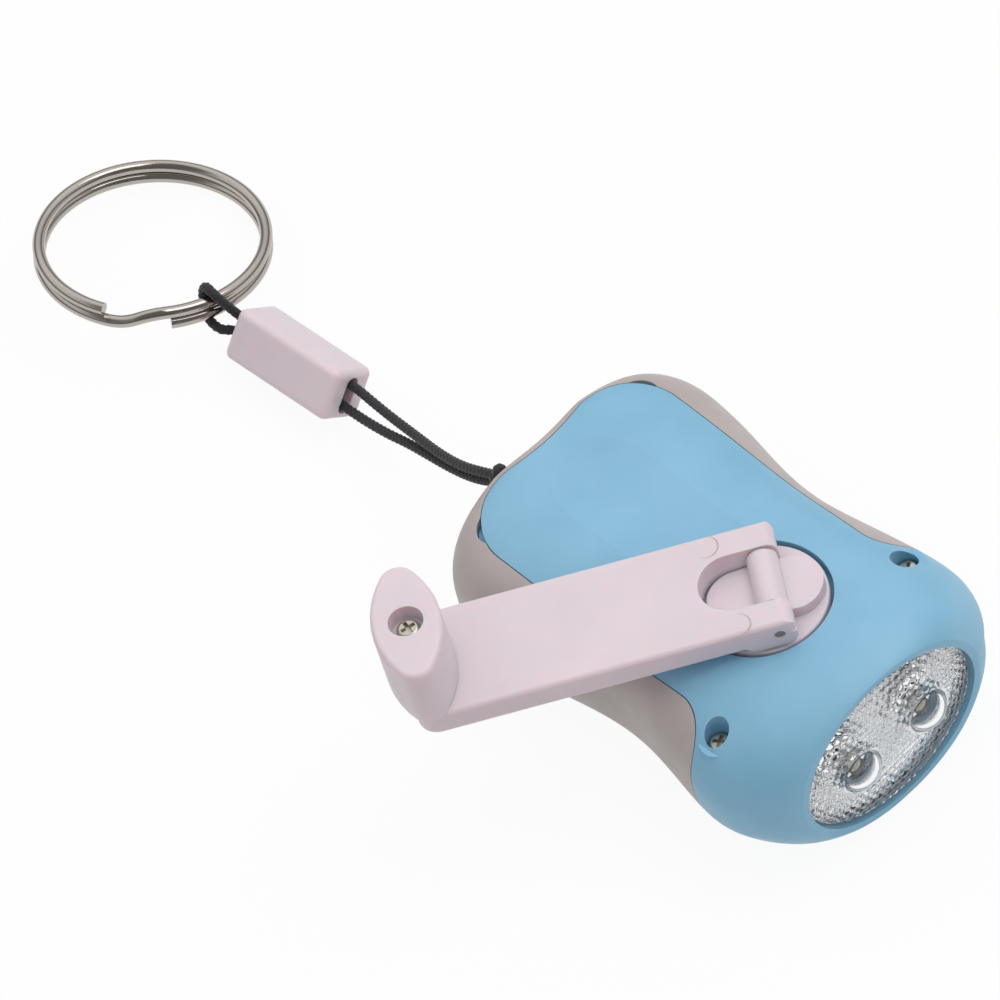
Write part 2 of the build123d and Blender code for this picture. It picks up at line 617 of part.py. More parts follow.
# ================================================================ crank
def make_crank_hub():
    """Round hub: disc, tongue with a barrel for the hinge pin, bearing shaft, square drive."""
    disc = rod(HUB_RADIUS, HUB_BOTTOM, HUB_TOP)
    disc = fillet(disc.edges().sort_by(Axis.Z)[-1], 0.3)
    base = -PIN_HEIGHT - 0.5
    top = TONGUE_HEIGHT - PIN_HEIGHT
    front = PIN_OFFSET - TONGUE_FRONT
    rear = PIN_OFFSET + TONGUE_REAR
    with BuildSketch(Plane.XZ) as side:
        with BuildLine():
            Line((front, base), (front, top))
            ThreePointArc((front, top), (front / 2 - 0.4, top - TONGUE_DIP), (-BARREL_RADIUS * 0.55, top))
            Line((-BARREL_RADIUS * 0.55, top), (BARREL_RADIUS * 0.55, top))
            ThreePointArc((BARREL_RADIUS * 0.55, top), (rear / 2 + 0.6, top - TONGUE_DIP), (rear, top - TONGUE_DIP))
            Line((rear, top - TONGUE_DIP), (rear, base))
            Line((rear, base), (front, base))
        make_face()
    tongue = extrude(side.sketch, TONGUE_WIDTH / 2, both=True)
    span = TONGUE_FRONT + TONGUE_REAR - TONGUE_WIDTH
    plan = Pos((front + rear) / 2, 0, base - 1) * extrude(SlotCenterToCenter(span, TONGUE_WIDTH), 10)
    tongue &= plan
    barrel = Rot(90, 0, 0) * Cylinder(BARREL_RADIUS, TONGUE_WIDTH)
    neck = block((-BARREL_RADIUS, BARREL_RADIUS), (-TONGUE_WIDTH / 2, TONGUE_WIDTH / 2), (base, 0))
    tongue = tongue + barrel + neck
    hub = disc + ARM_FRAME * tongue
    hub -= ARM_FRAME * Rot(90, 0, 0) * Cylinder(PIN_RADIUS + PIN_CLEARANCE, 2 * TONGUE_WIDTH)
    hub += rod(SHAFT_RADIUS, SHAFT_BOTTOM, HUB_BOTTOM)
    half = SQUARE_SIDE / 2
    hub += block((-half, half), (-half, half), (DRIVE_BOTTOM, SHAFT_BOTTOM))
    return hub - rod(SCREW_RADIUS, DRIVE_BOTTOM - 1, RECESS_FLOOR)


def make_drive_gear():
    """Large gear on the hub's square."""
    half = SQUARE_SIDE / 2
    body = gear(DRIVE_TEETH, 180, DRIVE_BOTTOM, DRIVE_THICKNESS)
    return body - block((-half, half), (-half, half), (DRIVE_BOTTOM - 1, SHAFT_BOTTOM + 1))


def make_hub_washer():
    """Washer that holds the drive gear up."""
    return tube(WASHER_RADIUS, SCREW_RADIUS, DRIVE_BOTTOM - WASHER_THICKNESS, DRIVE_BOTTOM)


def make_hub_screw():
    """Screw up into the hub's shaft."""
    under = DRIVE_BOTTOM - WASHER_THICKNESS
    return screw(under, RECESS_FLOOR - under - 0.5, head_up=False)


def arm_plate():
    """The arm's flat plate, its corners and edges rounded."""
    half = ARM_WIDTH / 2
    with BuildSketch() as plan:
        with BuildLine():
            FilletPolyline(
                (-EAR_REACH, -half), (-EAR_REACH, half), (ARM_LENGTH, half), (ARM_LENGTH, -half),
                radius=[EAR_CORNER, EAR_CORNER, ARM_CORNER, ARM_CORNER],
                close=True,
            )
        make_face()
    plate = Pos(0, 0, -ARM_BELOW) * extrude(plan.sketch, ARM_ABOVE + ARM_BELOW)
    levels = plate.edges().group_by(Axis.Z)
    return fillet(levels[0] + levels[-1], ARM_EDGE)


def arm_ear_block():
    """The deeper block under the hinge end, seen from the side."""
    with BuildSketch(Plane.XZ) as side:
        with BuildLine():
            FilletPolyline(
                (-EAR_REACH, 0), (-EAR_REACH, -EAR_REACH), (EAR_BLOCK, -EAR_REACH),
                (EAR_BLOCK + EAR_REACH, 0),
                radius=[0.02, EAR_ROUND, EAR_EASE, 0.02],
                close=True,
            )
        make_face()
    return extrude(side.sketch, ARM_WIDTH / 2, both=True)


def make_crank_arm():
    """Flat arm with two ears at the hinge, a notch between them and a seat for the knob."""
    arm = arm_plate() + arm_ear_block()
    half = ARM_WIDTH
    corner = block((-EAR_REACH - 1, EAR_ROUND - EAR_REACH), (-half, half), (ARM_ABOVE - EAR_ROUND, ARM_ABOVE + 1))
    corner -= Pos(EAR_ROUND - EAR_REACH, 0, ARM_ABOVE - EAR_ROUND) * Rot(90, 0, 0) * Cylinder(EAR_ROUND, 4 * half)
    arm -= corner
    radius = NOTCH_WIDTH / 2
    notch = block((-EAR_REACH - 1, NOTCH_REACH - radius), (-radius, radius), (-5, 5))
    notch += rod(radius, -5, 5, (NOTCH_REACH - radius, 0))
    arm -= notch
    arm -= Rot(90, 0, 0) * Cylinder(PIN_RADIUS, 2 * ARM_WIDTH)
    arm -= rod(SCREW_RADIUS, KNOB_SCREW_TIP, 5, (KNOB_REACH, 0))
    return ARM_FRAME * arm


def make_hinge_pin():
    """Steel pin through both ears and the barrel."""
    return ARM_FRAME * Rot(90, 0, 0) * Cylinder(PIN_RADIUS, ARM_WIDTH - 0.5)


def knob_outline():
    """The knob seen from above: two long arcs and two small round ends."""
    half_thick = KNOB_THICKNESS / 2
    reach = KNOB_WIDTH / 2 - KNOB_END
    rise = half_thick - KNOB_END
    back = (reach**2 - rise**2) / (2 * rise)
    side = back + half_thick
    lean = atan2(reach, back)
    corner = (side * cos(lean) - back, side * sin(lean))
    points = [
        (corner[0], -corner[1]), (half_thick, 0), corner, (0, KNOB_WIDTH / 2),
        (-corner[0], corner[1]), (-half_thick, 0), (-corner[0], -corner[1]), (0, -KNOB_WIDTH / 2),
    ]
    with BuildSketch() as outline:
        with BuildLine():
            ThreePointArc(points[0], points[1], points[2])
            ThreePointArc(points[2], points[3], points[4])
            ThreePointArc(points[4], points[5], points[6])
            ThreePointArc(points[6], points[7], points[0])
        make_face()
    return outline.sketch


def make_crank_knob():
    """Oval knob that turns on its screw."""
    knob = Pos(KNOB_REACH, 0, KNOB_BOTTOM) * extrude(knob_outline(), KNOB_HEIGHT)
    knob = fillet(knob.faces().sort_by(Axis.Z)[-1].edges(), KNOB_EDGE)
    place = (KNOB_REACH, 0)
    knob -= rod(KNOB_RECESS_RADIUS, KNOB_TOP - KNOB_RECESS_DEPTH, KNOB_TOP + 1, place)
    knob -= rod(KNOB_BORE, KNOB_BOTTOM - 1, KNOB_TOP, place)
    return ARM_FRAME * knob


def make_knob_screw():
    """Screw through the knob into the arm."""
    seat = KNOB_TOP - KNOB_RECESS_DEPTH + SHAFT_CLEARANCE
    return ARM_FRAME * Pos(KNOB_REACH, 0, 0) * Rot(0, 0, 20) * screw(seat, seat - KNOB_SCREW_TIP)


# ================================================================ gear train
def mesh_phase(teeth, towards):
    """Angle of a tooth on a gear that has a gap facing a neighbour's tooth."""
    return towards + 180.0 / teeth


def direction(start, end):
    """Angle in degrees from one axis to another, seen from above."""
    return degrees(atan2(end.Y - start.Y, end.X - start.X))


def compound_gear(place, gear_phase, pinion_phase, gear_bottom, pinion_top):
    """A large gear with a pinion standing on it, bored for its axle."""
    bore = AXLE_RADIUS + AXLE_CLEARANCE
    large = gear(IDLER_TEETH, gear_phase, gear_bottom, GEAR_THICKNESS, bore)
    small_bottom = gear_bottom + GEAR_THICKNESS
    small = gear(PINION_TEETH, pinion_phase, small_bottom, pinion_top - small_bottom, bore)
    return Pos(place.X, place.Y, 0) * (large + small)


def make_idler_gear_1():
    """First step-up gear; its pinion runs on the drive gear."""
    onward = direction(IDLER_1_AT, IDLER_2_AT)
    return compound_gear(IDLER_1_AT, onward, mesh_phase(PINION_TEETH, 0), IDLER_1_BOTTOM, SHAFT_BOTTOM)


def make_idler_gear_2():
    """Second step-up gear; its pinion runs on the first idler."""
    back = direction(IDLER_2_AT, IDLER_1_AT)
    onward = direction(IDLER_2_AT, ROTOR_AT)
    return compound_gear(IDLER_2_AT, onward, mesh_phase(PINION_TEETH, back), IDLER_2_BOTTOM, IDLER_1_TOP)


def make_rotor_pinion():
    """Pinion on the generator's shaft."""
    back = direction(ROTOR_AT, IDLER_2_AT)
    body = gear(PINION_TEETH, mesh_phase(PINION_TEETH, back), IDLER_2_BOTTOM, GEAR_THICKNESS, ROTOR_SHAFT_RADIUS)
    return Pos(ROTOR_AT.X, ROTOR_AT.Y, 0) * body


def make_idler_axle(place, top):
    """Fixed pin in the gear plate."""
    pin = rod(AXLE_RADIUS, PLATE_BOTTOM, top + AXLE_STICK_OUT, (place.X, place.Y))
    return pin + rod(AXLE_RADIUS + 0.8, PLATE_TOP, PLATE_TOP + PLATE_GAP / 2, (place.X, place.Y))


def make_gear_plate():
    """Plate that carries the axles and closes the generator."""
    plate = Pos(0, 0, PLATE_BOTTOM) * extrude(make_face(Polyline(*PLATE_CORNERS, close=True)), PLATE_THICKNESS)
    for place in PLATE_POSTS:
        plate -= rod(SCREW_RADIUS + SHAFT_CLEARANCE, 0, BODY_HEIGHT, place)
    for place in (IDLER_1_AT, IDLER_2_AT):
        plate -= rod(AXLE_RADIUS, 0, BODY_HEIGHT, (place.X, place.Y))
    return plate - rod(ROTOR_SHAFT_RADIUS + AXLE_CLEARANCE, 0, BODY_HEIGHT, (ROTOR_AT.X, ROTOR_AT.Y))


def make_gear_plate_screws():
    """Three low-headed screws into the posts."""
    one = screw(PLATE_TOP, PLATE_SCREW_LENGTH, True, PLATE_SCREW_HEAD, PLATE_SCREW_HEAD_HEIGHT)
    return [Pos(x, y, 0) * one for x, y in PLATE_POSTS]


# ================================================================ generator
def claw(bottom, top, base_bottom, base_top, first_angle, rim):
    """Half of the stator: an end plate with poles, and the can's wall where rim is true."""
    inner = POLE_RADIUS
    part = tube(CAN_RADIUS, POLE_RADIUS, base_bottom, base_top)
    span = 360.0 / POLES / 4 * POLE_SHARE
    ring = tube(inner + POLE_THICKNESS, inner, bottom, top)
    for number in range(POLES):
        angle = first_angle + number * 360.0 / POLES
        wedge = block((0, CAN_RADIUS), (-inner * sin(radians(span)), inner * sin(radians(span))), (bottom, top))
        part += ring & (Rot(0, 0, angle) * wedge)
    if rim:
        part += tube(CAN_RADIUS, CAN_RADIUS - CAN_WALL, base_bottom, CAN_TOP - CAN_WALL)
    return Pos(ROTOR_AT.X, ROTOR_AT.Y, 0) * part


def make_stator_lower():
    """Steel can with upward poles and a bearing in its floor."""
    reach = CAN_TOP - CAN_WALL - 1.0
    part = claw(CAN_BOTTOM, reach, CAN_BOTTOM, CAN_BOTTOM + CAN_WALL, 0, True)
    place = (ROTOR_AT.X, ROTOR_AT.Y)
    return part + tube(POLE_RADIUS + 0.3, ROTOR_SHAFT_RADIUS + AXLE_CLEARANCE, CAN_BOTTOM, CAN_BOTTOM + CAN_WALL, place)


def make_stator_upper():
    """Steel lid with downward poles between the lower ones."""
    return claw(CAN_BOTTOM + CAN_WALL + 1.0, CAN_TOP, CAN_TOP - CAN_WALL, CAN_TOP, 180.0 / POLES, False)


def bobbin_limits():
    """Inner and outer radius, bottom and top of the bobbin."""
    inner = POLE_RADIUS + POLE_THICKNESS + 0.1
    return inner, CAN_RADIUS - CAN_WALL, CAN_BOTTOM + CAN_WALL, CAN_TOP - CAN_WALL


def make_coil_bobbin():
    """Plastic spool round the poles."""
    inner, outer, bottom, top = bobbin_limits()
    spool = tube(outer, inner, bottom, top)
    spool -= tube(outer + 1, inner + 0.4, bottom + BOBBIN_FLANGE, top - BOBBIN_FLANGE)
    return Pos(ROTOR_AT.X, ROTOR_AT.Y, 0) * spool


def make_coil_winding():
    """Copper winding that fills the spool."""
    inner, outer, bottom, top = bobbin_limits()
    ring = tube(outer - COIL_MARGIN, inner + 0.4, bottom + BOBBIN_FLANGE, top - BOBBIN_FLANGE)
    return Pos(ROTOR_AT.X, ROTOR_AT.Y, 0) * ring


def make_rotor_magnet():
    """Round magnet inside the poles."""
    bottom = CAN_BOTTOM + CAN_WALL + MAGNET_MARGIN / 2
    top = CAN_TOP - CAN_WALL - MAGNET_MARGIN / 2
    return tube(MAGNET_RADIUS, ROTOR_SHAFT_RADIUS, bottom, top, (ROTOR_AT.X, ROTOR_AT.Y))


def make_rotor_shaft():
    """Shaft from the can's floor up through the gear plate."""
    return rod(ROTOR_SHAFT_RADIUS, CAN_BOTTOM, IDLER_2_TOP, (ROTOR_AT.X, ROTOR_AT.Y))


# ================================================================ circuit
def make_circuit_board():
    """Board below the hub, on the two front plate posts' inner side."""
    board = block(BOARD_X, (-BOARD_HALF_WIDTH, BOARD_HALF_WIDTH), (BOARD_Z, BOARD_Z + BOARD_THICKNESS))
    for place in PLATE_POSTS:
        board -= rod(POST_RADIUS, 0, BODY_HEIGHT, place)
    return board


def make_rechargeable_cell():
    """Round cell held up against the board's underside by its clip."""
    top = BOARD_Z - CELL_GAP
    cell = rod(CELL_RADIUS, top - CELL_THICKNESS, top, (CELL_X, 0))
    return fillet(cell.edges().filter_by(GeomType.CIRCLE), 0.3)


def make_cell_clip():
    """Spring strip under the cell, with two legs up to the board."""
    top = BOARD_Z - CELL_GAP - CELL_THICKNESS
    half = CLIP_WIDTH / 2
    reach = CELL_RADIUS + 0.4
    ends = (CELL_X - half, CELL_X + half)
    clip = block(ends, (-reach - CLIP_THICKNESS, reach + CLIP_THICKNESS), (top - CLIP_THICKNESS, top))
    for side in (1, -1):
        leg = sorted((side * reach, side * (reach + CLIP_THICKNESS)))
        clip += block(ends, leg, (top - CLIP_THICKNESS, BOARD_Z))
    return clip


def make_rectifier_diodes():
    """Four small diodes lying on the board."""
    top = BOARD_Z + BOARD_THICKNESS
    diodes = []
    for number in range(4):
        y = (number - 1.5) * DIODE_PITCH
        diodes.append(Pos(DIODE_X, y, top + DIODE_RADIUS) * Rot(0, 90, 0) * Cylinder(DIODE_RADIUS, DIODE_LENGTH))
    return diodes


def make_storage_capacitor():
    """Small can capacitor standing on the board."""
    top = BOARD_Z + BOARD_THICKNESS
    can = rod(CAPACITOR_RADIUS, top, top + CAPACITOR_HEIGHT, CAPACITOR_PLACE)
    return fillet(can.edges().sort_by(Axis.Z)[-1], 0.3)


def make_generator_leads():
    """Two insulated wires from the can's side to the board."""
    wires = []
    for number, y in enumerate((-4.5, -7.0)):
        start = ROTOR_AT.X + sqrt((CAN_RADIUS) ** 2 - (y - ROTOR_AT.Y) ** 2) - 0.1
        z = BOARD_Z + BOARD_THICKNESS / 2
        length = BOARD_X[0] - start
        wires.append(Pos(start + length / 2, y, z) * Rot(0, 90, 0) * Cylinder(WIRE_RADIUS, length))
    return wires


# ================================================================ cord, bead, ring
def make_cord_bar():
    """Steel pin inside the back wall that the cord is tied to."""
    depth = NEST_X + sqrt((NEST_RADIUS + WALL) ** 2 - HOLE_Y**2) + BAR_RADIUS
    pin = Rot(90, 0, 0) * Cylinder(BAR_RADIUS, 2 * BAR_HALF_LENGTH)
    return Pos(depth, HOLE_Y, HOLE_Z) * pin


def ring_point(angle, radial=0.0, up=0.0):
    """A point near the ring's wire, in the body's frame."""
    radius = RING_RADIUS + radial
    local = Pos(radius * cos(radians(angle)), radius * sin(radians(angle)), up)
    return (RING_FRAME * local).position


def bead_point(along, across, aside=0.0):
    """A point inside the bead: along its bore, across towards a strand, and to the side."""
    return (BEAD_FRAME * Pos(along, across, aside)).position


def cord_route():
    """The cord's control points: out of the body, through the bead, round the ring and back."""
    half = CORD_SPACING / 2
    near = CORD_SPACING_AT_RING / 2
    loop = RING_STEP + RING_WIRE_RADIUS + CORD_RADIUS + LOOP_SLACK
    side = RING_WIRE_RADIUS + CORD_RADIUS + LOOP_SLACK
    return [
        (-37.3, HOLE_Y, HOLE_Z),
        (-41.8, -4.6, 19.5),
        (-45.4, -5.3, 18.0),
        (-50.9, -5.5, 15.0),
        (-56.4, -4.9, 12.3),
        (-61.7, -4.0, 10.0),
        (-66.1, -3.3, 8.2),
        (-69.9, -2.8, 7.0),
        (-73.8, -2.3, 6.1),
        bead_point(BEAD_LENGTH + 0.8, half),
        bead_point(BEAD_LENGTH * 0.6, half),
        bead_point(1.5, near, 0.1),
        bead_point(-1.8, near, 0.1),
        ring_point(EYE_ANGLE, side, loop),
        ring_point(EYE_ANGLE, -side, loop),
        ring_point(EYE_ANGLE, -side, -loop),
        ring_point(EYE_ANGLE, side, -loop),
        bead_point(-1.8, -near, -0.1),
        bead_point(1.5, -near, -0.1),
        bead_point(BEAD_LENGTH * 0.6, -half),
        bead_point(BEAD_LENGTH + 0.8, -half),
        (-72.9, -4.4, 4.7),
        (-67.9, -4.6, 6.3),
        (-64.0, -4.5, 7.6),
        (-59.2, -4.85, 9.5),
        (-54.0, -5.3, 11.7),
        (-49.7, -5.5, 13.8),
        (-46.6, -5.4, 15.5),
        (-44.8, -5.2, 16.7),
    ]


def route_radii(points):
    """Each corner's radius: as large as its two runs allow."""
    corners = [Vector(*point) if isinstance(point, tuple) else point for point in points]
    radii = []
    for before, corner, after in zip(corners, corners[1:], corners[2:]):
        first = corner - before
        second = after - corner
        turn = radians(first.get_angle(second))
        radii.append(0.45 * min(first.length, second.length) / tan(turn / 2))
    return radii


def make_lanyard_cord():
    """Round cord of constant thickness along the whole route."""
    points = cord_route()
    radii = route_radii(points)
    print("cord radii", " ".join(f"{radius:.1f}" for radius in radii))
    path = FilletPolyline(*points, radius=radii)
    start = Plane(origin=path @ 0, z_dir=path % 0)
    cord = sweep(start * Circle(CORD_RADIUS), path=path)
    print(f"cord length {path.length:.1f}, volume over section times length "
          f"{cord.volume / (pi * CORD_RADIUS**2 * path.length):.4f}")
    return cord


def make_cord_hitch():
    """The knot where the cord leaves the body."""
    return Pos(*HITCH) * Sphere(HITCH_RADIUS)


def make_cord_bead():
    """Square bead with rounded edges and one bore for both strands."""
    body = Pos(BEAD_LENGTH / 2, 0, 0) * Box(BEAD_LENGTH, BEAD_SIDE, BEAD_SIDE)
    body = fillet(body.edges(), BEAD_EDGE)
    slot = SlotCenterToCenter(CORD_SPACING, 2 * BEAD_BORE_RADIUS)
    bore = Pos(-1, 0, 0) * extrude(Plane(origin=(0, 0, 0), x_dir=(0, 1, 0), z_dir=(1, 0, 0)) * slot, BEAD_LENGTH + 2)
    return BEAD_FRAME * (body - bore)


def make_split_ring():
    """Spring steel key ring: two turns of wire and the step between them."""
    low = -RING_STEP
    high = RING_STEP
    reach = sqrt(RING_RADIUS**2 + RING_STEP**2)

    def at(angle, z, radius=RING_RADIUS):
        """A point on a turn of the wire."""
        return Vector(radius * cos(radians(angle)), radius * sin(radians(angle)), z)

    step_from = JOGGLE_ANGLE - JOGGLE_HALF_SPAN
    step_to = JOGGLE_ANGLE + JOGGLE_HALF_SPAN
    lower_start = step_to + WIRE_END_GAP - 360
    upper_end = step_from - WIRE_END_GAP + 360
    lower_middle = (lower_start + step_from) / 2
    upper_middle = (step_to + upper_end) / 2
    tangent_low = Vector(0, 1, 0).rotate(Axis.Z, step_from)
    path = []
    path.append(ThreePointArc(at(lower_start, low), at((lower_start + lower_middle) / 2, low), at(lower_middle, low)))
    path.append(ThreePointArc(at(lower_middle, low), at((lower_middle + step_from) / 2, low), at(step_from, low)))
    crossing = at(JOGGLE_ANGLE, 0, reach)
    path.append(TangentArc(at(step_from, low), crossing, tangent=tangent_low))
    path.append(TangentArc(crossing, at(step_to, high), tangent=path[-1] % 1))
    path.append(ThreePointArc(at(step_to, high), at((step_to + upper_middle) / 2, high), at(upper_middle, high)))
    path.append(ThreePointArc(at(upper_middle, high), at((upper_middle + upper_end) / 2, high), at(upper_end, high)))
    wire = Wire(path)
    ring = sweep(Plane(origin=wire @ 0, z_dir=wire % 0) * Circle(RING_WIRE_RADIUS), path=wire)
    return RING_FRAME * ring


# ================================================================ writing
def solids_of(shape):
    """One compound or solid from a part or a list of parts."""
    if isinstance(shape, list):
        return Compound(children=[solid for item in shape for solid in item.solids()])
    return shape


def main():
    """Make every part and write its file."""
    outside = body_solid()
    hollow = cavity_solid()
    inside = cavity_solid(WALL + LENS_CLEARANCE)
    rear = screw(REAR_SCREW_SEAT, REAR_SCREW_LENGTH, head_up=False)
    front = Rot(0, 0, 30) * screw(FRONT_SCREW_SEAT, FRONT_SCREW_LENGTH)
    pieces = {
        "top_cover": make_top_cover(outside, hollow),
        "bottom_shell": make_bottom_shell(outside, hollow, inside),
        "lens": make_lens(),
        "reflector": make_reflector(),
        "led_lamps": make_led_lamps(),
        "led_leads": make_led_leads(),
        "front_screws": [Pos(x, y, 0) * front for x, y in screw_places(FRONT_SCREW_X, FRONT_SCREW_Y)],
        "rear_screws": [Pos(x, y, 0) * rear for x, y in screw_places(REAR_SCREW_X, REAR_SCREW_Y)],
        "crank_hub": make_crank_hub(),
        "drive_gear": make_drive_gear(),
        "hub_washer": make_hub_washer(),
        "hub_screw": make_hub_screw(),
        "crank_arm": make_crank_arm(),
        "hinge_pin": make_hinge_pin(),
        "crank_knob": make_crank_knob(),
        "knob_screw": make_knob_screw(),
        "idler_gear_1": make_idler_gear_1(),
        "idler_gear_2": make_idler_gear_2(),
        "idler_axle_1": make_idler_axle(IDLER_1_AT, SHAFT_BOTTOM - 0.6),
        "idler_axle_2": make_idler_axle(IDLER_2_AT, IDLER_1_TOP - 0.2),
        "gear_plate": make_gear_plate(),
        "gear_plate_screws": make_gear_plate_screws(),
        "stator_lower": make_stator_lower(),
        "stator_upper": make_stator_upper(),
        "coil_bobbin": make_coil_bobbin(),
        "coil_winding": make_coil_winding(),
        "rotor_shaft": make_rotor_shaft(),
        "rotor_magnet": make_rotor_magnet(),
        "rotor_pinion": make_rotor_pinion(),
        "circuit_board": make_circuit_board(),
        "rechargeable_cell": make_rechargeable_cell(),
        "cell_clip": make_cell_clip(),
        "rectifier_diodes": make_rectifier_diodes(),
        "storage_capacitor": make_storage_capacitor(),
        "generator_leads": make_generator_leads(),
        "cord_bar": make_cord_bar(),
        "lanyard_cord": make_lanyard_cord(),
        "cord_hitch": make_cord_hitch(),
        "cord_bead": make_cord_bead(),
        "split_ring": make_split_ring(),
    }
    os.makedirs("parts", exist_ok=True)
    for name, shape in pieces.items():
        export_step(solids_of(shape), f"parts/{name}.step")


main()
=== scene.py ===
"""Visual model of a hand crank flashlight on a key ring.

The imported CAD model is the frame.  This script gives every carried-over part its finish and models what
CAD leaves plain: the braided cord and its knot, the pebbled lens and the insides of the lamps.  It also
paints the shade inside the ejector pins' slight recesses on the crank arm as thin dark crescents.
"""
from __future__ import annotations

import json
import logging
import math
import random
from dataclasses import dataclass
from enum import Enum

import bpy
from mathutils import Matrix, Vector

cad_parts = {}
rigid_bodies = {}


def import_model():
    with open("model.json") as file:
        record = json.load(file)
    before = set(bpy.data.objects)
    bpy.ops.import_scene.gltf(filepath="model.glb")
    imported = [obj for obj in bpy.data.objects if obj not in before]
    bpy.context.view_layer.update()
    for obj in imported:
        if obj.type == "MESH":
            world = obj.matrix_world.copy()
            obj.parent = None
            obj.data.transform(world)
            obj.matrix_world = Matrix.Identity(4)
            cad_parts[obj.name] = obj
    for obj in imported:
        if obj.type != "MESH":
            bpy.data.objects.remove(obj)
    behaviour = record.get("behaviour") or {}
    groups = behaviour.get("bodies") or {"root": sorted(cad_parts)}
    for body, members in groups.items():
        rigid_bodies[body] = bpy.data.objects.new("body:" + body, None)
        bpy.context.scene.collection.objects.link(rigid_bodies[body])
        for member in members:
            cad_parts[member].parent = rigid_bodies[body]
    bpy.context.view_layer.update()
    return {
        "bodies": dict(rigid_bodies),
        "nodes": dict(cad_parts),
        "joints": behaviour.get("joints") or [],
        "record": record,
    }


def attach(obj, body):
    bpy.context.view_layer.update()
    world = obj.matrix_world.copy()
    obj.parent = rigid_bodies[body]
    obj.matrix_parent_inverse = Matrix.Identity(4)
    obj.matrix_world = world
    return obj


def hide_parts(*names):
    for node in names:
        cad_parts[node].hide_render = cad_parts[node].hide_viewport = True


LOG = logging.getLogger("flashlight")
MM = 0.001
MIX_SHARE, MIX_FIRST, MIX_SECOND, MIX_RESULT = 0, 6, 7, 2  # sockets of a colour mix


# ------------------------------------------------------------------ small tools
def linear(code: str) -> tuple[float, float, float, float]:
    """Turn an sRGB hex colour into linear light.

    Args:
        code: six hex digits after a hash sign.

    Returns:
        Linear red, green and blue, and an alpha of 1.
    """
    parts = [int(code[at:at + 2], 16) / 255 for at in (1, 3, 5)]
    straight = [c / 12.92 if c <= 0.04045 else ((c + 0.055) / 1.055) ** 2.4 for c in parts]
    return (straight[0], straight[1], straight[2], 1.0)


def per_metre(size_mm: float) -> float:
    """Turn the width of one cell of a pattern into a texture's scale.

    Args:
        size_mm: the cell's width in millimetres.

    Returns:
        The texture's scale.
    """
    return 1.0 / (size_mm * MM)


def add(
    tree: bpy.types.NodeTree, kind: str, inputs: dict | None = None, **settings: object
) -> bpy.types.Node:
    """Add a node, set its options, and fill or link its inputs.

    Args:
        tree: the node tree.
        kind: the node's type name.
        inputs: a value or an output socket for each input, by name or number.
        settings: the node's own options.

    Returns:
        The new node.
    """
    made = tree.nodes.new(kind)
    for option, value in settings.items():
        setattr(made, option, value)
    for key, value in (inputs or {}).items():
        if isinstance(value, bpy.types.NodeSocket):
            tree.links.new(value, made.inputs[key])
        else:
            made.inputs[key].default_value = value
    return made


def mesh_object(name: str, points: list, faces: list) -> bpy.types.Object:
    """Make a smoothly shaded object from points in millimetres and faces.

    Args:
        name: the piece's name.
        points: corner places in millimetres.
        faces: corner numbers of each face.

    Returns:
        The linked object.
    """
    mesh = bpy.data.meshes.new(name)
    mesh.from_pydata([tuple(c * MM for c in point) for point in points], [], faces)
    mesh.update()
    for face in mesh.polygons:
        face.use_smooth = True
    made = bpy.data.objects.new(name, mesh)
    bpy.context.scene.collection.objects.link(made)
    return made


# ------------------------------------------------------------------ finishes
@dataclass(frozen=True)
class Finish:
    """A surface finish; each kind fills in its own shader.

    Attributes:
        name: the material's name.
        slot: the record's material slot it is meant for; not used.
    """

    name: str
    slot: str

    def shader(self, tree: bpy.types.NodeTree) -> bpy.types.Node:
        """Build the shader.

        Args:
            tree: the material's node tree.

        Returns:
            The shader's node.
        """
        raise NotImplementedError

    def make(self) -> bpy.types.Material:
        """Build the material the first time it is asked for.

        Returns:
            The material.
        """
        found = bpy.data.materials.get(self.name)
        if found is not None:
            return found
        material = bpy.data.materials.new(self.name)
        material.use_nodes = True
        tree = material.node_tree
        tree.nodes.clear()
        surface = self.shader(tree)
        add(tree, "ShaderNodeOutputMaterial", {"Surface": surface.outputs[0]})
        return material

    def put_on(self, piece: bpy.types.Object) -> None:
        """Give a piece this finish.

        Args:
            piece: the object to cover.
        """
        piece.data.materials.clear()
        piece.data.materials.append(self.make())


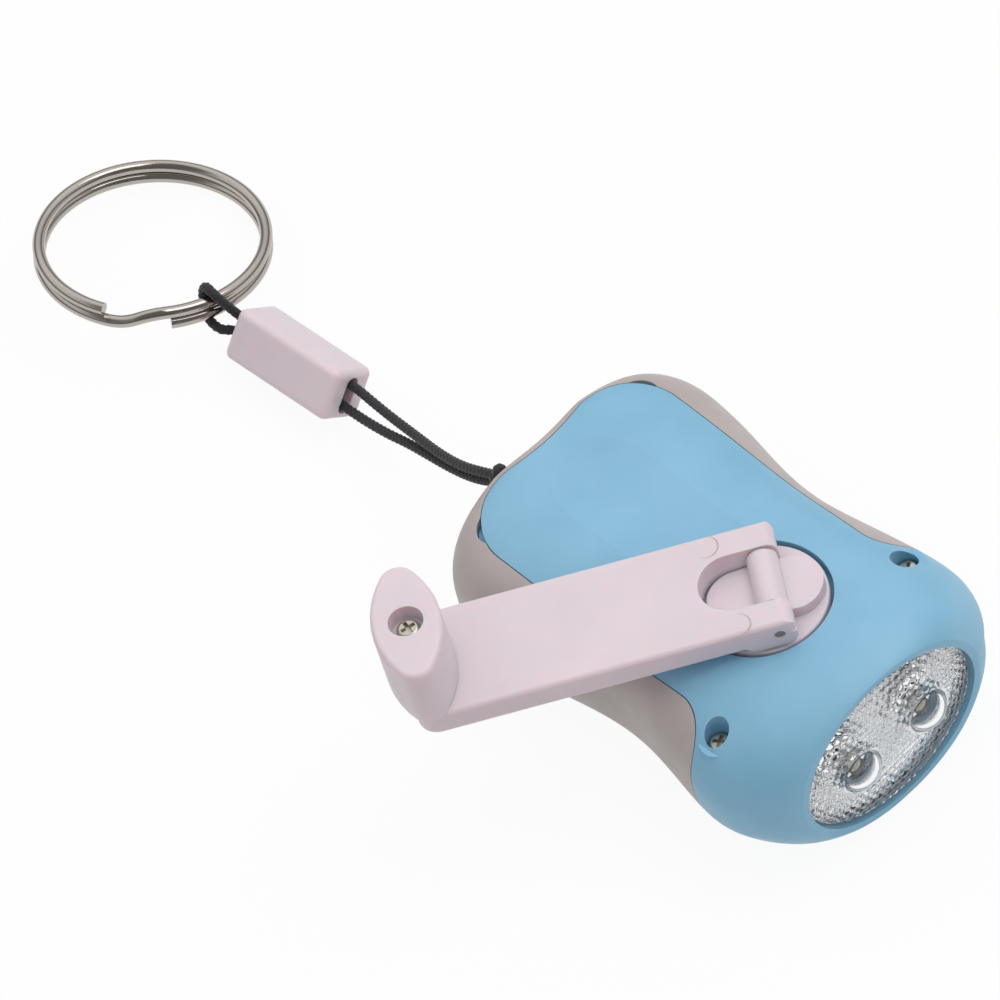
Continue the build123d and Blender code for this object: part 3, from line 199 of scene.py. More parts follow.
@dataclass(frozen=True)
class MouldedPlastic(Finish):
    """Plastic, injection moulded in a spark-eroded tool: ABS for the case and crank, acetal for the gears.

    The tool leaves a fine even grain, so highlights are soft and wide.  The grain of the real part is
    about 0.1 mm, too fine to show, and is drawn at the size given.

    Attributes:
        colour: the plastic's colour.
        worn: the colour of its duller patches.
        roughness: how wide the highlights are.
        grain_mm: width of a grain of the texture.
        relief_mm: height of the texture.
        glow: share of light that travels under the surface.
        glow_mm: how far it travels, in red, green and blue.
        patch_mm: width of the patches of wear.
        smear_mm: width of the smears in the gloss.
        glossier: how much less rough the glossiest smears are.
        duller: how much rougher the dullest smears are.
    """

    colour: str
    worn: str
    roughness: float = 0.42
    grain_mm: float = 0.28
    relief_mm: float = 0.004
    glow: float = 0.0
    glow_mm: tuple[float, float, float] = (1.0, 0.4, 0.3)
    patch_mm: float = 9.0
    smear_mm: float = 3.0
    glossier: float = 0.05
    duller: float = 0.06

    def shader(self, tree: bpy.types.NodeTree) -> bpy.types.Node:
        """Build the plastic: patches of wear, an uneven gloss and the tool's grain.

        Args:
            tree: the material's node tree.

        Returns:
            The shader's node.
        """
        place = add(tree, "ShaderNodeTexCoord").outputs["Object"]
        patches = add(
            tree, "ShaderNodeTexNoise", {"Vector": place, "Scale": per_metre(self.patch_mm), "Detail": 4.0}
        )
        wear = add(
            tree, "ShaderNodeMapRange", {"Value": patches.outputs[0], "From Min": 0.35, "From Max": 0.75}
        )
        tint = add(
            tree, "ShaderNodeMix",
            {MIX_SHARE: wear.outputs[0], MIX_FIRST: linear(self.colour), MIX_SECOND: linear(self.worn)},
            data_type="RGBA",
        )
        smear = add(
            tree, "ShaderNodeTexNoise", {"Vector": place, "Scale": per_metre(self.smear_mm), "Detail": 3.0}
        )
        gloss = add(
            tree, "ShaderNodeMapRange",
            {
                "Value": smear.outputs[0],
                "From Min": 0.3,
                "From Max": 0.7,
                "To Min": self.roughness - self.glossier,
                "To Max": self.roughness + self.duller,
            },
        )
        grain = add(
            tree, "ShaderNodeTexNoise", {"Vector": place, "Scale": per_metre(self.grain_mm), "Detail": 2.0}
        )
        relief = add(
            tree, "ShaderNodeBump",
            {"Height": grain.outputs[0], "Strength": 0.6, "Distance": self.relief_mm * MM},
        )
        return add(
            tree, "ShaderNodeBsdfPrincipled",
            {
                "Base Color": tint.outputs[MIX_RESULT],
                "Roughness": gloss.outputs[0],
                "IOR": 1.53,
                "Subsurface Weight": self.glow,
                "Subsurface Radius": self.glow_mm,
                "Subsurface Scale": MM,
                "Normal": relief.outputs[0],
            },
        )


@dataclass(frozen=True)
class PlatedSteel(Finish):
    """Spring or screw steel with bright nickel plate; drawing and tumbling leave faint lines and dull spots.

    Attributes:
        colour: reflected colour.
        roughness: how blurred its reflections are.
        streak_mm: spacing of the drawing lines.
        spot_mm: width of the dull spots.
        dulling: how many times rougher the dull spots are.
    """

    colour: str
    roughness: float = 0.14
    streak_mm: float = 0.25
    spot_mm: float = 1.6
    dulling: float = 2.2

    def shader(self, tree: bpy.types.NodeTree) -> bpy.types.Node:
        """Build the metal: dull spots in a bright plate.

        Args:
            tree: the material's node tree.

        Returns:
            The shader's node.
        """
        place = add(tree, "ShaderNodeTexCoord").outputs["Object"]
        spots = add(
            tree, "ShaderNodeTexNoise", {"Vector": place, "Scale": per_metre(self.spot_mm), "Detail": 5.0}
        )
        blur = add(
            tree, "ShaderNodeMapRange",
            {
                "Value": spots.outputs[0],
                "From Min": 0.35,
                "From Max": 0.75,
                "To Min": self.roughness,
                "To Max": self.roughness * self.dulling,
            },
        )
        lines = add(
            tree, "ShaderNodeTexNoise", {"Vector": place, "Scale": per_metre(self.streak_mm), "Detail": 2.0}
        )
        relief = add(
            tree, "ShaderNodeBump", {"Height": lines.outputs[0], "Strength": 0.25, "Distance": 0.003 * MM}
        )
        return add(
            tree, "ShaderNodeBsdfPrincipled",
            {
                "Base Color": linear(self.colour),
                "Metallic": 1.0,
                "Roughness": blur.outputs[0],
                "Normal": relief.outputs[0],
            },
        )


@dataclass(frozen=True)
class ClearPlastic(Finish):
    """Polystyrene or epoxy, moulded clear: water-clear with a polished surface.

    Attributes:
        colour: colour of light that passes through.
        roughness: how blurred the light is.
        ior: refractive index.
        wave_mm: width of the waves that moulding leaves.
    """

    colour: str = "#fbfcfd"
    roughness: float = 0.03
    ior: float = 1.55
    wave_mm: float = 2.5

    def shader(self, tree: bpy.types.NodeTree) -> bpy.types.Node:
        """Build the clear plastic, with the faint waviness of moulding.

        Args:
            tree: the material's node tree.

        Returns:
            The shader's node.
        """
        place = add(tree, "ShaderNodeTexCoord").outputs["Object"]
        waves = add(
            tree, "ShaderNodeTexNoise", {"Vector": place, "Scale": per_metre(self.wave_mm), "Detail": 1.0}
        )
        relief = add(
            tree, "ShaderNodeBump", {"Height": waves.outputs[0], "Strength": 0.3, "Distance": 0.02 * MM}
        )
        return add(
            tree, "ShaderNodeBsdfPrincipled",
            {
                "Base Color": linear(self.colour),
                "Roughness": self.roughness,
                "IOR": self.ior,
                "Transmission Weight": 1.0,
                "Normal": relief.outputs[0],
            },
        )


@dataclass(frozen=True)
class Metallised(Finish):
    """Aluminium evaporated on a moulded plate: a mirror with the mould's hammered facets.

    Attributes:
        colour: reflected colour.
        facet_mm: width of a facet.
        roughness: how blurred its reflections are.
    """

    colour: str = "#eef0f2"
    facet_mm: float = 0.9
    roughness: float = 0.12

    def shader(self, tree: bpy.types.NodeTree) -> bpy.types.Node:
        """Build the mirror and its facets.

        Args:
            tree: the material's node tree.

        Returns:
            The shader's node.
        """
        place = add(tree, "ShaderNodeTexCoord").outputs["Object"]
        facets = add(tree, "ShaderNodeTexVoronoi", {"Vector": place, "Scale": per_metre(self.facet_mm)})
        relief = add(
            tree, "ShaderNodeBump", {"Height": facets.outputs[0], "Strength": 0.3, "Distance": 0.18 * MM}
        )
        return add(
            tree, "ShaderNodeBsdfPrincipled",
            {
                "Base Color": linear(self.colour),
                "Metallic": 1.0,
                "Roughness": self.roughness,
                "Normal": relief.outputs[0],
            },
        )


@dataclass(frozen=True)
class BraidedNylon(Finish):
    """Nylon thread, braided round: matt black with a faint sheen on each strand.

    Attributes:
        colour: colour of the thread.
        lit: colour where the filaments catch light.
        thread_mm: width of a filament bundle, drawn coarser than the real 0.05 mm so that it shows.
        roughness: how wide the highlights are.
        sheen: share of light that the filaments scatter sideways.
    """

    colour: str = "#141316"
    lit: str = "#37363b"
    thread_mm: float = 0.12
    roughness: float = 0.72
    sheen: float = 0.25

    def shader(self, tree: bpy.types.NodeTree) -> bpy.types.Node:
        """Build the thread: fine filaments and sheen.

        Args:
            tree: the material's node tree.

        Returns:
            The shader's node.
        """
        place = add(tree, "ShaderNodeTexCoord").outputs["Object"]
        fibres = add(
            tree, "ShaderNodeTexNoise", {"Vector": place, "Scale": per_metre(self.thread_mm), "Detail": 3.0}
        )
        tint = add(
            tree, "ShaderNodeMix",
            {MIX_SHARE: fibres.outputs[0], MIX_FIRST: linear(self.colour), MIX_SECOND: linear(self.lit)},
            data_type="RGBA",
        )
        relief = add(
            tree, "ShaderNodeBump", {"Height": fibres.outputs[0], "Strength": 0.7, "Distance": 0.03 * MM}
        )
        return add(
            tree, "ShaderNodeBsdfPrincipled",
            {
                "Base Color": tint.outputs[MIX_RESULT],
                "Roughness": self.roughness,
                "Sheen Weight": self.sheen,
                "Sheen Roughness": 0.4,
                "Normal": relief.outputs[0],
            },
        )


@dataclass(frozen=True)
class Flecked(Finish):
    """A plain inner material whose colour varies in small flecks: ferrite, laminate, epoxy, enamel.

    Attributes:
        colour: main colour.
        fleck: colour of the flecks.
        fleck_mm: size of a fleck.
        roughness: how wide the highlights are.
        metallic: 1 for a metal.
    """

    colour: str
    fleck: str
    fleck_mm: float
    roughness: float = 0.5
    metallic: float = 0.0

    def shader(self, tree: bpy.types.NodeTree) -> bpy.types.Node:
        """Build the flecked material.

        Args:
            tree: the material's node tree.

        Returns:
            The shader's node.
        """
        place = add(tree, "ShaderNodeTexCoord").outputs["Object"]
        flecks = add(
            tree, "ShaderNodeTexNoise", {"Vector": place, "Scale": per_metre(self.fleck_mm), "Detail": 3.0}
        )
        tint = add(
            tree, "ShaderNodeMix",
            {MIX_SHARE: flecks.outputs[0], MIX_FIRST: linear(self.colour), MIX_SECOND: linear(self.fleck)},
            data_type="RGBA",
        )
        relief = add(
            tree, "ShaderNodeBump", {"Height": flecks.outputs[0], "Strength": 0.4, "Distance": 0.01 * MM}
        )
        return add(
            tree, "ShaderNodeBsdfPrincipled",
            {
                "Base Color": tint.outputs[MIX_RESULT],
                "Roughness": self.roughness,
                "Metallic": self.metallic,
                "Normal": relief.outputs[0],
            },
        )


COVER_ABS = MouldedPlastic("sky_blue_abs", "cover_plastic", "#86bbd8", "#7db3d1")
SHELL_ABS = MouldedPlastic("warm_grey_abs", "shell_plastic", "#b9afad", "#b0a6a4", roughness=0.45)
CRANK_ABS = MouldedPlastic(
    "pale_pink_abs", "crank_plastic", "#e1d4da", "#dccfd6", roughness=0.4, relief_mm=0.003,
    glow=0.6, glow_mm=(2.0, 0.5, 0.5),
)
NICKEL_RING = PlatedSteel("nickel_plated_spring_steel", "nickel_steel", "#b4ada6", roughness=0.09)
NICKEL_SCREW = PlatedSteel("nickel_plated_screw_steel", "nickel_steel", "#c4beb4", roughness=0.2)
TURNED_PIN = PlatedSteel("turned_pin_steel", "pin_steel", "#a39a90", roughness=0.3)
LENS_CLEAR = ClearPlastic("clear_lens_polystyrene", "clear_plastic", ior=1.5)
LAMP_EPOXY = ClearPlastic("clear_lamp_epoxy", "lamp_resin", roughness=0.05, ior=1.52)
MIRROR_COAT = Metallised("metallised_reflector", "bright_coating")
CORD_NYLON = BraidedNylon("black_braided_nylon", "cord_textile")
GEAR_ACETAL = MouldedPlastic(
    "white_gear_acetal", "gear_plastic", "#e9e8e2", "#e0dfd8", roughness=0.35,
    glow=0.2, glow_mm=(0.6, 0.6, 0.5),
)
COIL_COPPER = Flecked("enamelled_copper", "copper_wire", "#b8683a", "#93491f", 0.2, 0.35, 1.0)
FERRITE = Flecked("sintered_ferrite", "magnet_ferrite", "#3a3a3d", "#2b2b2e", 0.4, 0.7)
LAMINATE = Flecked("glass_fibre_laminate", "board_laminate", "#2f6b3f", "#285c36", 1.0, 0.45)
CELL_NICKEL = PlatedSteel("rolled_nickel_cell_case", "cell_case", "#c8c9cb", roughness=0.25)
BLACK_EPOXY = Flecked("moulded_black_epoxy", "component_black", "#26262a", "#1b1b1e", 0.3, 0.5)
# Painted shadow: a dark crescent that stands in for the shade inside the ejector pins' slight recesses on the
# arm.
PAINTED_RECESS_SHADOW = Flecked("ejector_recess_painted_shadow", "crank_plastic", "#a08478", "#d8c2c4", 0.3, 0.6)


class Body(Enum):
    """The CAD bodies that new pieces ride on."""

    HOUSING = "housing"
    ARM = "arm"


def dress(frame: dict, finish: Finish, *names: str) -> None:
    """Give carried-over CAD nodes a finish.

    Args:
        finish: the finish.
        names: the nodes.
    """
    for name in names:
        finish.put_on(frame["nodes"][name])
        LOG.info("dressed %s in %s", name, finish.name)


def settle(piece: bpy.types.Object, body: Body, finish: Finish) -> None:
    """Give a new piece its finish and the body it rides on.

    Args:
        piece: the new object.
        body: the body it moves with.
        finish: its finish.
    """
    finish.put_on(piece)
    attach(piece, body.value)
    LOG.info("made %s on %s", piece.name, body.value)


# ------------------------------------------------------------------ housing
@dataclass
class Housing:
    """The blue top cover, the grey bottom shell and the four case screws.

    Attributes:
    """

    frame: dict

    def build(self) -> None:
        """Dress both shells and the screws."""
        dress(self.frame, COVER_ABS, "top_cover")
        dress(self.frame, SHELL_ABS, "bottom_shell")
        dress(self.frame, NICKEL_SCREW, "front_screws", "rear_screws")


# ------------------------------------------------------------------ lamp head
@dataclass
class LampHead:
    """The pebbled lens, the reflector and the two lamps.

    Attributes:
        half_width: half the lens across, in millimetres.
        half_height: half the lens upwards.
        face: where its face stands along the body.
        back: where its back stands.
        middle: height of its middle.
        lamp_across: how far each lamp stands to the side.
        crown: how far the middle of its face stands before its edge.
        fullness: power of the crown's outline, 2 for a dome and more for a flatter one.
        dome_radius: outer radius of the dome over a lamp.
        dome_centre: where the dome's centre stands along the body.
        bore_radius: radius of the hollow behind the dome.
        clear_ring: radius of the smooth ring round a dome.
        ring_fade: width over which the pebbles start beyond that ring.
        rim_fade: share of the lens over which the pebbles end at its rim.
        pebble_pitch: spacing of the pebbles.
        pebble_height: height of a pebble.
        pebble_reach: radius of a pebble as a share of the spacing.
        pebble_shake: how far a pebble may stand from its place in the row.
        row_seed: step of the random seed from row to row.
        cup_profile: the lamp cup's outline, as places along the body and radii.
        cup_sides: corners of a lamp cup.
        rings: rings of the lens's mesh.
        spokes: corners of each ring.
    """

    frame: dict
    half_width: float = 13.8
    half_height: float = 10.775
    face: float = 17.8
    back: float = 16.3
    middle: float = 12.575
    lamp_across: float = 5.6
    crown: float = 1.9
    fullness: float = 5.0
    dome_radius: float = 3.4
    dome_centre: float = 18.0
    bore_radius: float = 2.65
    clear_ring: float = 3.7
    ring_fade: float = 0.4
    rim_fade: float = 0.03
    pebble_pitch: float = 1.05
    pebble_height: float = 0.38
    pebble_reach: float = 0.56
    pebble_shake: float = 0.1
    row_seed: int = 977
    cup_profile: tuple[tuple[float, float], ...] = (
        (11.4, 0.35), (13.2, 0.35), (13.3, 0.9), (14.3, 1.25), (14.3, 1.1), (13.6, 0.3), (13.6, 0.0),
    )
    cup_sides: int = 24
    rings: int = 104
    spokes: int = 400

    def lamp_distance(self, y: float, z: float) -> float:
        """Measure how far a place on the lens is from the nearer lamp's axis.

        Args:
            y: the place across the lens, in millimetres.
            z: the place above the lens's middle.

        Returns:
            The distance in millimetres.
        """
        return math.hypot(abs(y) - self.lamp_across, z)

    def pebble(self, y: float, z: float) -> float:
        """Work out the height of the pebbles: close-set rows, each second row half a pitch aside.

        Args:
            y: the place across the lens, in millimetres.
            z: the place above the lens's middle.

        Returns:
            The height above the hollows between the pebbles.
        """
        step = self.pebble_pitch * math.sqrt(3) / 2
        best = self.pebble_pitch
        near = round(z / step)
        for row in (near - 1, near, near + 1):
            aside = 0.5 * self.pebble_pitch if row % 2 else 0.0
            column = round((y - aside) / self.pebble_pitch)
            shake = random.Random(row * self.row_seed + column)
            centre_y = column * self.pebble_pitch + aside
            centre_y += shake.uniform(-self.pebble_shake, self.pebble_shake)
            centre_z = row * step + shake.uniform(-self.pebble_shake, self.pebble_shake)
            best = min(best, math.hypot(y - centre_y, z - centre_z))
        share = min(best / (self.pebble_reach * self.pebble_pitch), 1.0)
        return self.pebble_height * math.sqrt(1 - share * share)

    def front(self, y: float, z: float, edge: float) -> float:
        """Work out where the lens's front surface stands.

        Args:
            y: the place across the lens, in millimetres.
            z: the place above the lens's middle.
            edge: how near the place is to the rim, 1 at the rim.

        Returns:
            The surface's place along the body.
        """
        skin = self.face + self.crown * math.sqrt(max(1 - edge**self.fullness, 0.0))
        away = self.lamp_distance(y, z)
        if away < self.dome_radius:
            dome = self.dome_centre + math.sqrt(self.dome_radius**2 - away * away)
            if dome > skin:
                return dome
        past_ring = min(max((away - self.clear_ring + self.ring_fade) / self.ring_fade, 0.0), 1.0)
        inside_rim = min((1 - edge) / self.rim_fade, 1.0)
        return skin + (self.pebble(y, z) - self.pebble_height) * past_ring * inside_rim

    def rear(self, y: float, z: float) -> float:
        """Work out where the lens's rear surface stands.

        Args:
            y: the place across the lens, in millimetres.
            z: the place above the lens's middle.

        Returns:
            The surface's place along the body.
        """
        away = self.lamp_distance(y, z)
        if away < self.bore_radius:
            return max(self.dome_centre + math.sqrt(self.bore_radius**2 - away * away), self.back)
        return self.back

    def lens(self) -> None:
        """Model the lens as one closed skin."""
        places = [(0.0, 0.0, 0.0)]
        for ring in range(1, self.rings + 1):
            share = ring / self.rings
            for spoke in range(self.spokes):
                angle = 2 * math.pi * spoke / self.spokes
                across = self.half_width * share * math.cos(angle)
                above = self.half_height * share * math.sin(angle)
                places.append((across, above, share))
        front = [(self.front(y, z, share), y, z + self.middle) for y, z, share in places]
        rear = [(self.rear(y, z), y, z + self.middle) for y, z, _ in places]
        count = len(places)
        faces = []
        for spoke in range(self.spokes):
            after = (spoke + 1) % self.spokes
            faces.append((0, 1 + spoke, 1 + after))
            faces.append((count, count + 1 + after, count + 1 + spoke))
            for ring in range(self.rings - 1):
                inner = 1 + ring * self.spokes
                outer = inner + self.spokes
                patch = (inner + spoke, outer + spoke, outer + after, inner + after)
                faces.append(patch)
                faces.append(tuple(count + corner for corner in reversed(patch)))
            rim = 1 + (self.rings - 1) * self.spokes
            faces.append((rim + spoke, count + rim + spoke, count + rim + after, rim + after))
        made = mesh_object("pebbled_lens", front + rear, faces)
        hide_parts("lens")
        settle(made, Body.HOUSING, LENS_CLEAR)

    def lamp_core(self, number: int, across: float) -> None:
        """Model a lamp's cup and posts, seen through its epoxy.

        Args:
            number: 1 or 2.
            across: where the lamp stands to the side, in millimetres.
        """
        sides = self.cup_sides
        points, faces = [], []
        for x, radius in self.cup_profile:
            for side in range(sides):
                angle = 2 * math.pi * side / sides
                points.append((x, across + radius * math.cos(angle), self.middle + radius * math.sin(angle)))
        for row in range(len(self.cup_profile) - 1):
            for side in range(sides):
                after = (side + 1) % sides
                first, second = row * sides, (row + 1) * sides
                faces.append((first + side, first + after, second + after, second + side))
        core = mesh_object(f"lamp_cup_{number}", points, faces)
        settle(core, Body.HOUSING, NICKEL_SCREW)

    def build(self) -> None:
        """Model the lens and lamp cups, dress the rest."""
        self.lens()
        self.lamp_core(1, self.lamp_across)
        self.lamp_core(2, -self.lamp_across)
        dress(self.frame, MIRROR_COAT, "reflector")
        dress(self.frame, LAMP_EPOXY, "led_lamps")
        dress(self.frame, NICKEL_SCREW, "led_leads")


# ------------------------------------------------------------------ crank
@dataclass
class Crank:
    """Hub, arm, knob and their pin and screws, with painted shadows in the ejector pins' slight recesses on
    the arm.

    Attributes:
        arm_top: height of the arm's upper face, in millimetres.
        ejector_places: centres of the ejector pins' slight recesses on the arm, where the painted shadows
            sit.
        ejector_radius: radius of an ejector pin.
        mark_half_turn: how far the painted shadow reaches to each side, in degrees.
        mark_heading: direction of the painted shadow's widest place, in radians.
        mark_thin: width of the painted shadow at its ends.
        mark_swell: how much wider it is in its middle.
        mark_lift: how far the dark sheet stands above the arm.
        mark_steps: steps along the painted shadow.
    """

    frame: dict
    arm_top: float = 30.05
    ejector_places: tuple[tuple[float, float], ...] = ((-8.06, -1.01), (3.35, -6.56))
    ejector_radius: float = 1.6
    mark_half_turn: float = 100.0
    mark_heading: float = 0.6
    mark_thin: float = 0.05
    mark_swell: float = 0.13
    mark_lift: float = 0.012
    mark_steps: int = 40

    def ejector_painted_shadow(self, number: int, centre: tuple[float, float]) -> None:
        """Model a painted shadow: a thin dark crescent sheet round an ejector pin's slight recess, widest on
        one side, standing in for the shade inside the recess.

        Args:
            number: the mark's number.
            centre: its centre on the arm, in millimetres.
        """
        points, faces = [], []
        for step in range(self.mark_steps + 1):
            angle = math.radians(self.mark_half_turn * (2 * step / self.mark_steps - 1))
            heading = angle + self.mark_heading
            width = self.mark_thin + self.mark_swell * math.cos(angle * 0.9) ** 2
            for radius in (self.ejector_radius - width / 2, self.ejector_radius + width / 2):
                points.append((
                    centre[0] + radius * math.cos(heading), centre[1] + radius * math.sin(heading),
                    self.arm_top + self.mark_lift,
                ))
        for step in range(self.mark_steps):
            faces.append((2 * step, 2 * step + 1, 2 * step + 3, 2 * step + 2))
        # Painted shadow: a thin dark sheet laid where the recess only has shade.
        mark = mesh_object(f"ejector_painted_shadow_{number}", points, faces)
        settle(mark, Body.ARM, PAINTED_RECESS_SHADOW)

    def build(self) -> None:
        """Dress the crank and add the painted shadows in the ejector recesses."""
        dress(self.frame, CRANK_ABS, "crank_hub", "crank_arm", "crank_knob")
        dress(self.frame, NICKEL_SCREW, "knob_screw", "hub_screw", "hub_washer")
        dress(self.frame, TURNED_PIN, "hinge_pin")
        for number, centre in enumerate(self.ejector_places, 1):
            self.ejector_painted_shadow(number, centre)


# ------------------------------------------------------------------ works inside the body
@dataclass
class Works:
    """Gear train, generator and circuit inside the body.

    Attributes:
    """

    frame: dict

    def build(self) -> None:
        """Dress every inner part."""
        dress(self.frame, GEAR_ACETAL, "drive_gear", "idler_gear_1", "idler_gear_2", "rotor_pinion")
        dress(self.frame, GEAR_ACETAL, "gear_plate", "coil_bobbin")
        dress(self.frame, NICKEL_SCREW, "gear_plate_screws", "cell_clip")
        dress(self.frame, TURNED_PIN, "idler_axle_1", "idler_axle_2", "rotor_shaft", "cord_bar")
        dress(self.frame, TURNED_PIN, "stator_lower", "stator_upper")
        dress(self.frame, COIL_COPPER, "coil_winding", "generator_leads")
        dress(self.frame, FERRITE, "rotor_magnet")
        dress(self.frame, LAMINATE, "circuit_board")
        dress(self.frame, CELL_NICKEL, "rechargeable_cell")
        dress(self.frame, BLACK_EPOXY, "rectifier_diodes", "storage_capacitor")


# ------------------------------------------------------------------ lanyard
ROUTE = (
    (-0.037300, -0.004500, 0.019500),
    (-0.041800, -0.004600, 0.019500),
    (-0.045400, -0.005300, 0.018000),
    (-0.050900, -0.005500, 0.015000),
    (-0.056400, -0.004900, 0.012300),
    (-0.061700, -0.004000, 0.010000),
    (-0.066100, -0.003300, 0.008200),
    (-0.069900, -0.002800, 0.007000),
    (-0.073800, -0.002300, 0.006100),
    (-0.076567, -0.002022, 0.005800),
    (-0.084480, -0.002340, 0.005731),
    (-0.093631, -0.003159, 0.005321),
    (-0.096928, -0.003292, 0.005292),
    (-0.098171, -0.004773, 0.009706),
    (-0.101793, -0.004114, 0.009342),
    (-0.101524, -0.005499, 0.004151),
    (-0.097901, -0.006157, 0.004514),
    (-0.096869, -0.004453, 0.003776),
    (-0.093571, -0.004320, 0.003805),
    (-0.084378, -0.004403, 0.003555),
    (-0.076465, -0.004085, 0.003624),
    (-0.072900, -0.004400, 0.004700),
    (-0.067900, -0.004600, 0.006300),
    (-0.064000, -0.004500, 0.007600),
    (-0.059200, -0.004850, 0.009500),
    (-0.054000, -0.005300, 0.011700),
    (-0.049700, -0.005500, 0.013800),
    (-0.046600, -0.005400, 0.015500),
    (-0.044800, -0.005200, 0.016700),
)


@dataclass
class Lanyard:
    """The doubled cord, its knot, the bead and the split ring.

    Attributes:
        cord_radius: half the cord's thickness, in millimetres.
        braid_depth: how deep the grooves of the braid are, as a share of the radius.
        strands: strands that run each way round.
        lay_mm: length in which a strand goes once round.
        step_mm: spacing of the rings of the cord's mesh.
        sides: corners of each ring.
        knot_middle: centre of the knot.
        knot_size: size of the knot's turns.
        knot_steps: steps along the knot's line.
        knot_lean: how far the knot leans about the body's Y and X axes, in degrees.
    """

    frame: dict
    cord_radius: float = 0.65
    braid_depth: float = 0.2
    strands: int = 4
    lay_mm: float = 3.4
    step_mm: float = 0.13
    sides: int = 24
    knot_middle: tuple[float, float, float] = (-43.4, -5.0, 18.9)
    knot_size: float = 0.31
    knot_steps: int = 240
    knot_lean: tuple[float, float] = (40.0, 20.0)

    def smooth_line(self) -> list[Vector]:
        """Read the line of the route's smooth curve.

        Returns:
            Evenly spaced points in metres.
        """
        curve = bpy.data.curves.new("cord_line", "CURVE")
        curve.dimensions = "3D"
        curve.resolution_u = 24
        spline = curve.splines.new("NURBS")
        spline.points.add(len(ROUTE) - 1)
        for at, place in enumerate(ROUTE):
            spline.points[at].co = (*place, 1.0)
        spline.order_u = 3
        spline.use_endpoint_u = True
        holder = bpy.data.objects.new("cord_line", curve)
        bpy.context.scene.collection.objects.link(holder)
        read = bpy.data.meshes.new_from_object(holder)
        corners = [vertex.co.copy() for vertex in read.vertices]
        bpy.data.objects.remove(holder)
        bpy.data.meshes.remove(read)
        return self.even(corners)

    def even(self, corners: list[Vector]) -> list[Vector]:
        """Space points evenly along a line.

        Args:
            corners: the line's points, in metres.

        Returns:
            Points a mesh step apart.
        """
        step = self.step_mm * MM
        line = [corners[0]]
        left = step
        for start, end in zip(corners, corners[1:]):
            length = (end - start).length
            along = left
            while along <= length:
                line.append(start.lerp(end, along / length))
                along += step
            left = along - length
        return line

    def braid(self, turn: float, along: float) -> float:
        """Work out the height of the braid.

        Args:
            turn: angle round the cord.
            along: distance along it, in millimetres.

        Returns:
            The height from 0 in a groove to 1 on a strand.
        """
        twist = 2 * math.pi * along / self.lay_mm
        one = math.cos(self.strands * (turn + twist) / 2)
        other = math.cos(self.strands * (turn - twist) / 2)
        return math.sqrt(abs(one * other))

    def tube(self, name: str, line: list[Vector], closed: bool = False) -> bpy.types.Object:
        """Sweep the braided section along a line.

        Args:
            name: the piece's name.
            line: points in metres.
            closed: whether the line's end joins its start.

        Returns:
            The tube.
        """
        count = len(line)
        points, faces = [], []
        normal = None
        for at, place in enumerate(line):
            before = line[at - 1] if at or closed else line[at]
            after = line[(at + 1) % count] if at + 1 < count or closed else line[at]
            forward = (after - before).normalized()
            if normal is None:
                normal = forward.orthogonal().normalized()
            normal = (normal - forward * normal.dot(forward)).normalized()
            across = forward.cross(normal)
            along = at * self.step_mm
            for side in range(self.sides):
                turn = 2 * math.pi * side / self.sides
                radius = self.cord_radius * (1 - self.braid_depth * (1 - self.braid(turn, along)))
                rim = place + (normal * math.cos(turn) + across * math.sin(turn)) * radius * MM
                points.append(tuple(c / MM for c in rim))
        rows = count if closed else count - 1
        for row in range(rows):
            first = row * self.sides
            second = ((row + 1) % count) * self.sides
            for side in range(self.sides):
                after = (side + 1) % self.sides
                faces.append((first + side, first + after, second + after, second + side))
        if not closed:
            faces.append(tuple(range(self.sides - 1, -1, -1)))
            last = (count - 1) * self.sides
            faces.append(tuple(range(last, last + self.sides)))
        return mesh_object(name, points, faces)

    def knot_line(self) -> list[Vector]:
        """Draw the knot's own line: an overhand knot pulled into a ball.

        Returns:
            Points in metres round a closed line.
        """
        middle = Vector(self.knot_middle) * MM
        about_y, about_x = (math.radians(angle) for angle in self.knot_lean)
        lean = Matrix.Rotation(about_y, 3, "Y") @ Matrix.Rotation(about_x, 3, "X")
        corners = []
        for step in range(self.knot_steps + 1):
            turn = 2 * math.pi * step / self.knot_steps
            loop = Vector((
                math.sin(turn) + 2 * math.sin(2 * turn),
                math.cos(turn) - 2 * math.cos(2 * turn),
                -1.6 * math.sin(3 * turn),
            ))
            corners.append(middle + lean @ loop * self.knot_size * MM)
        return self.even(corners)

    def build(self) -> None:
        line = self.smooth_line()
        cord = self.tube("braided_cord", line)
        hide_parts("lanyard_cord")
        settle(cord, Body.HOUSING, CORD_NYLON)
        knot = self.tube("cord_knot", self.knot_line(), closed=True)
        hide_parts("cord_hitch")
        settle(knot, Body.HOUSING, CORD_NYLON)
        dress(self.frame, CRANK_ABS, "cord_bead")
        dress(self.frame, NICKEL_RING, "split_ring")


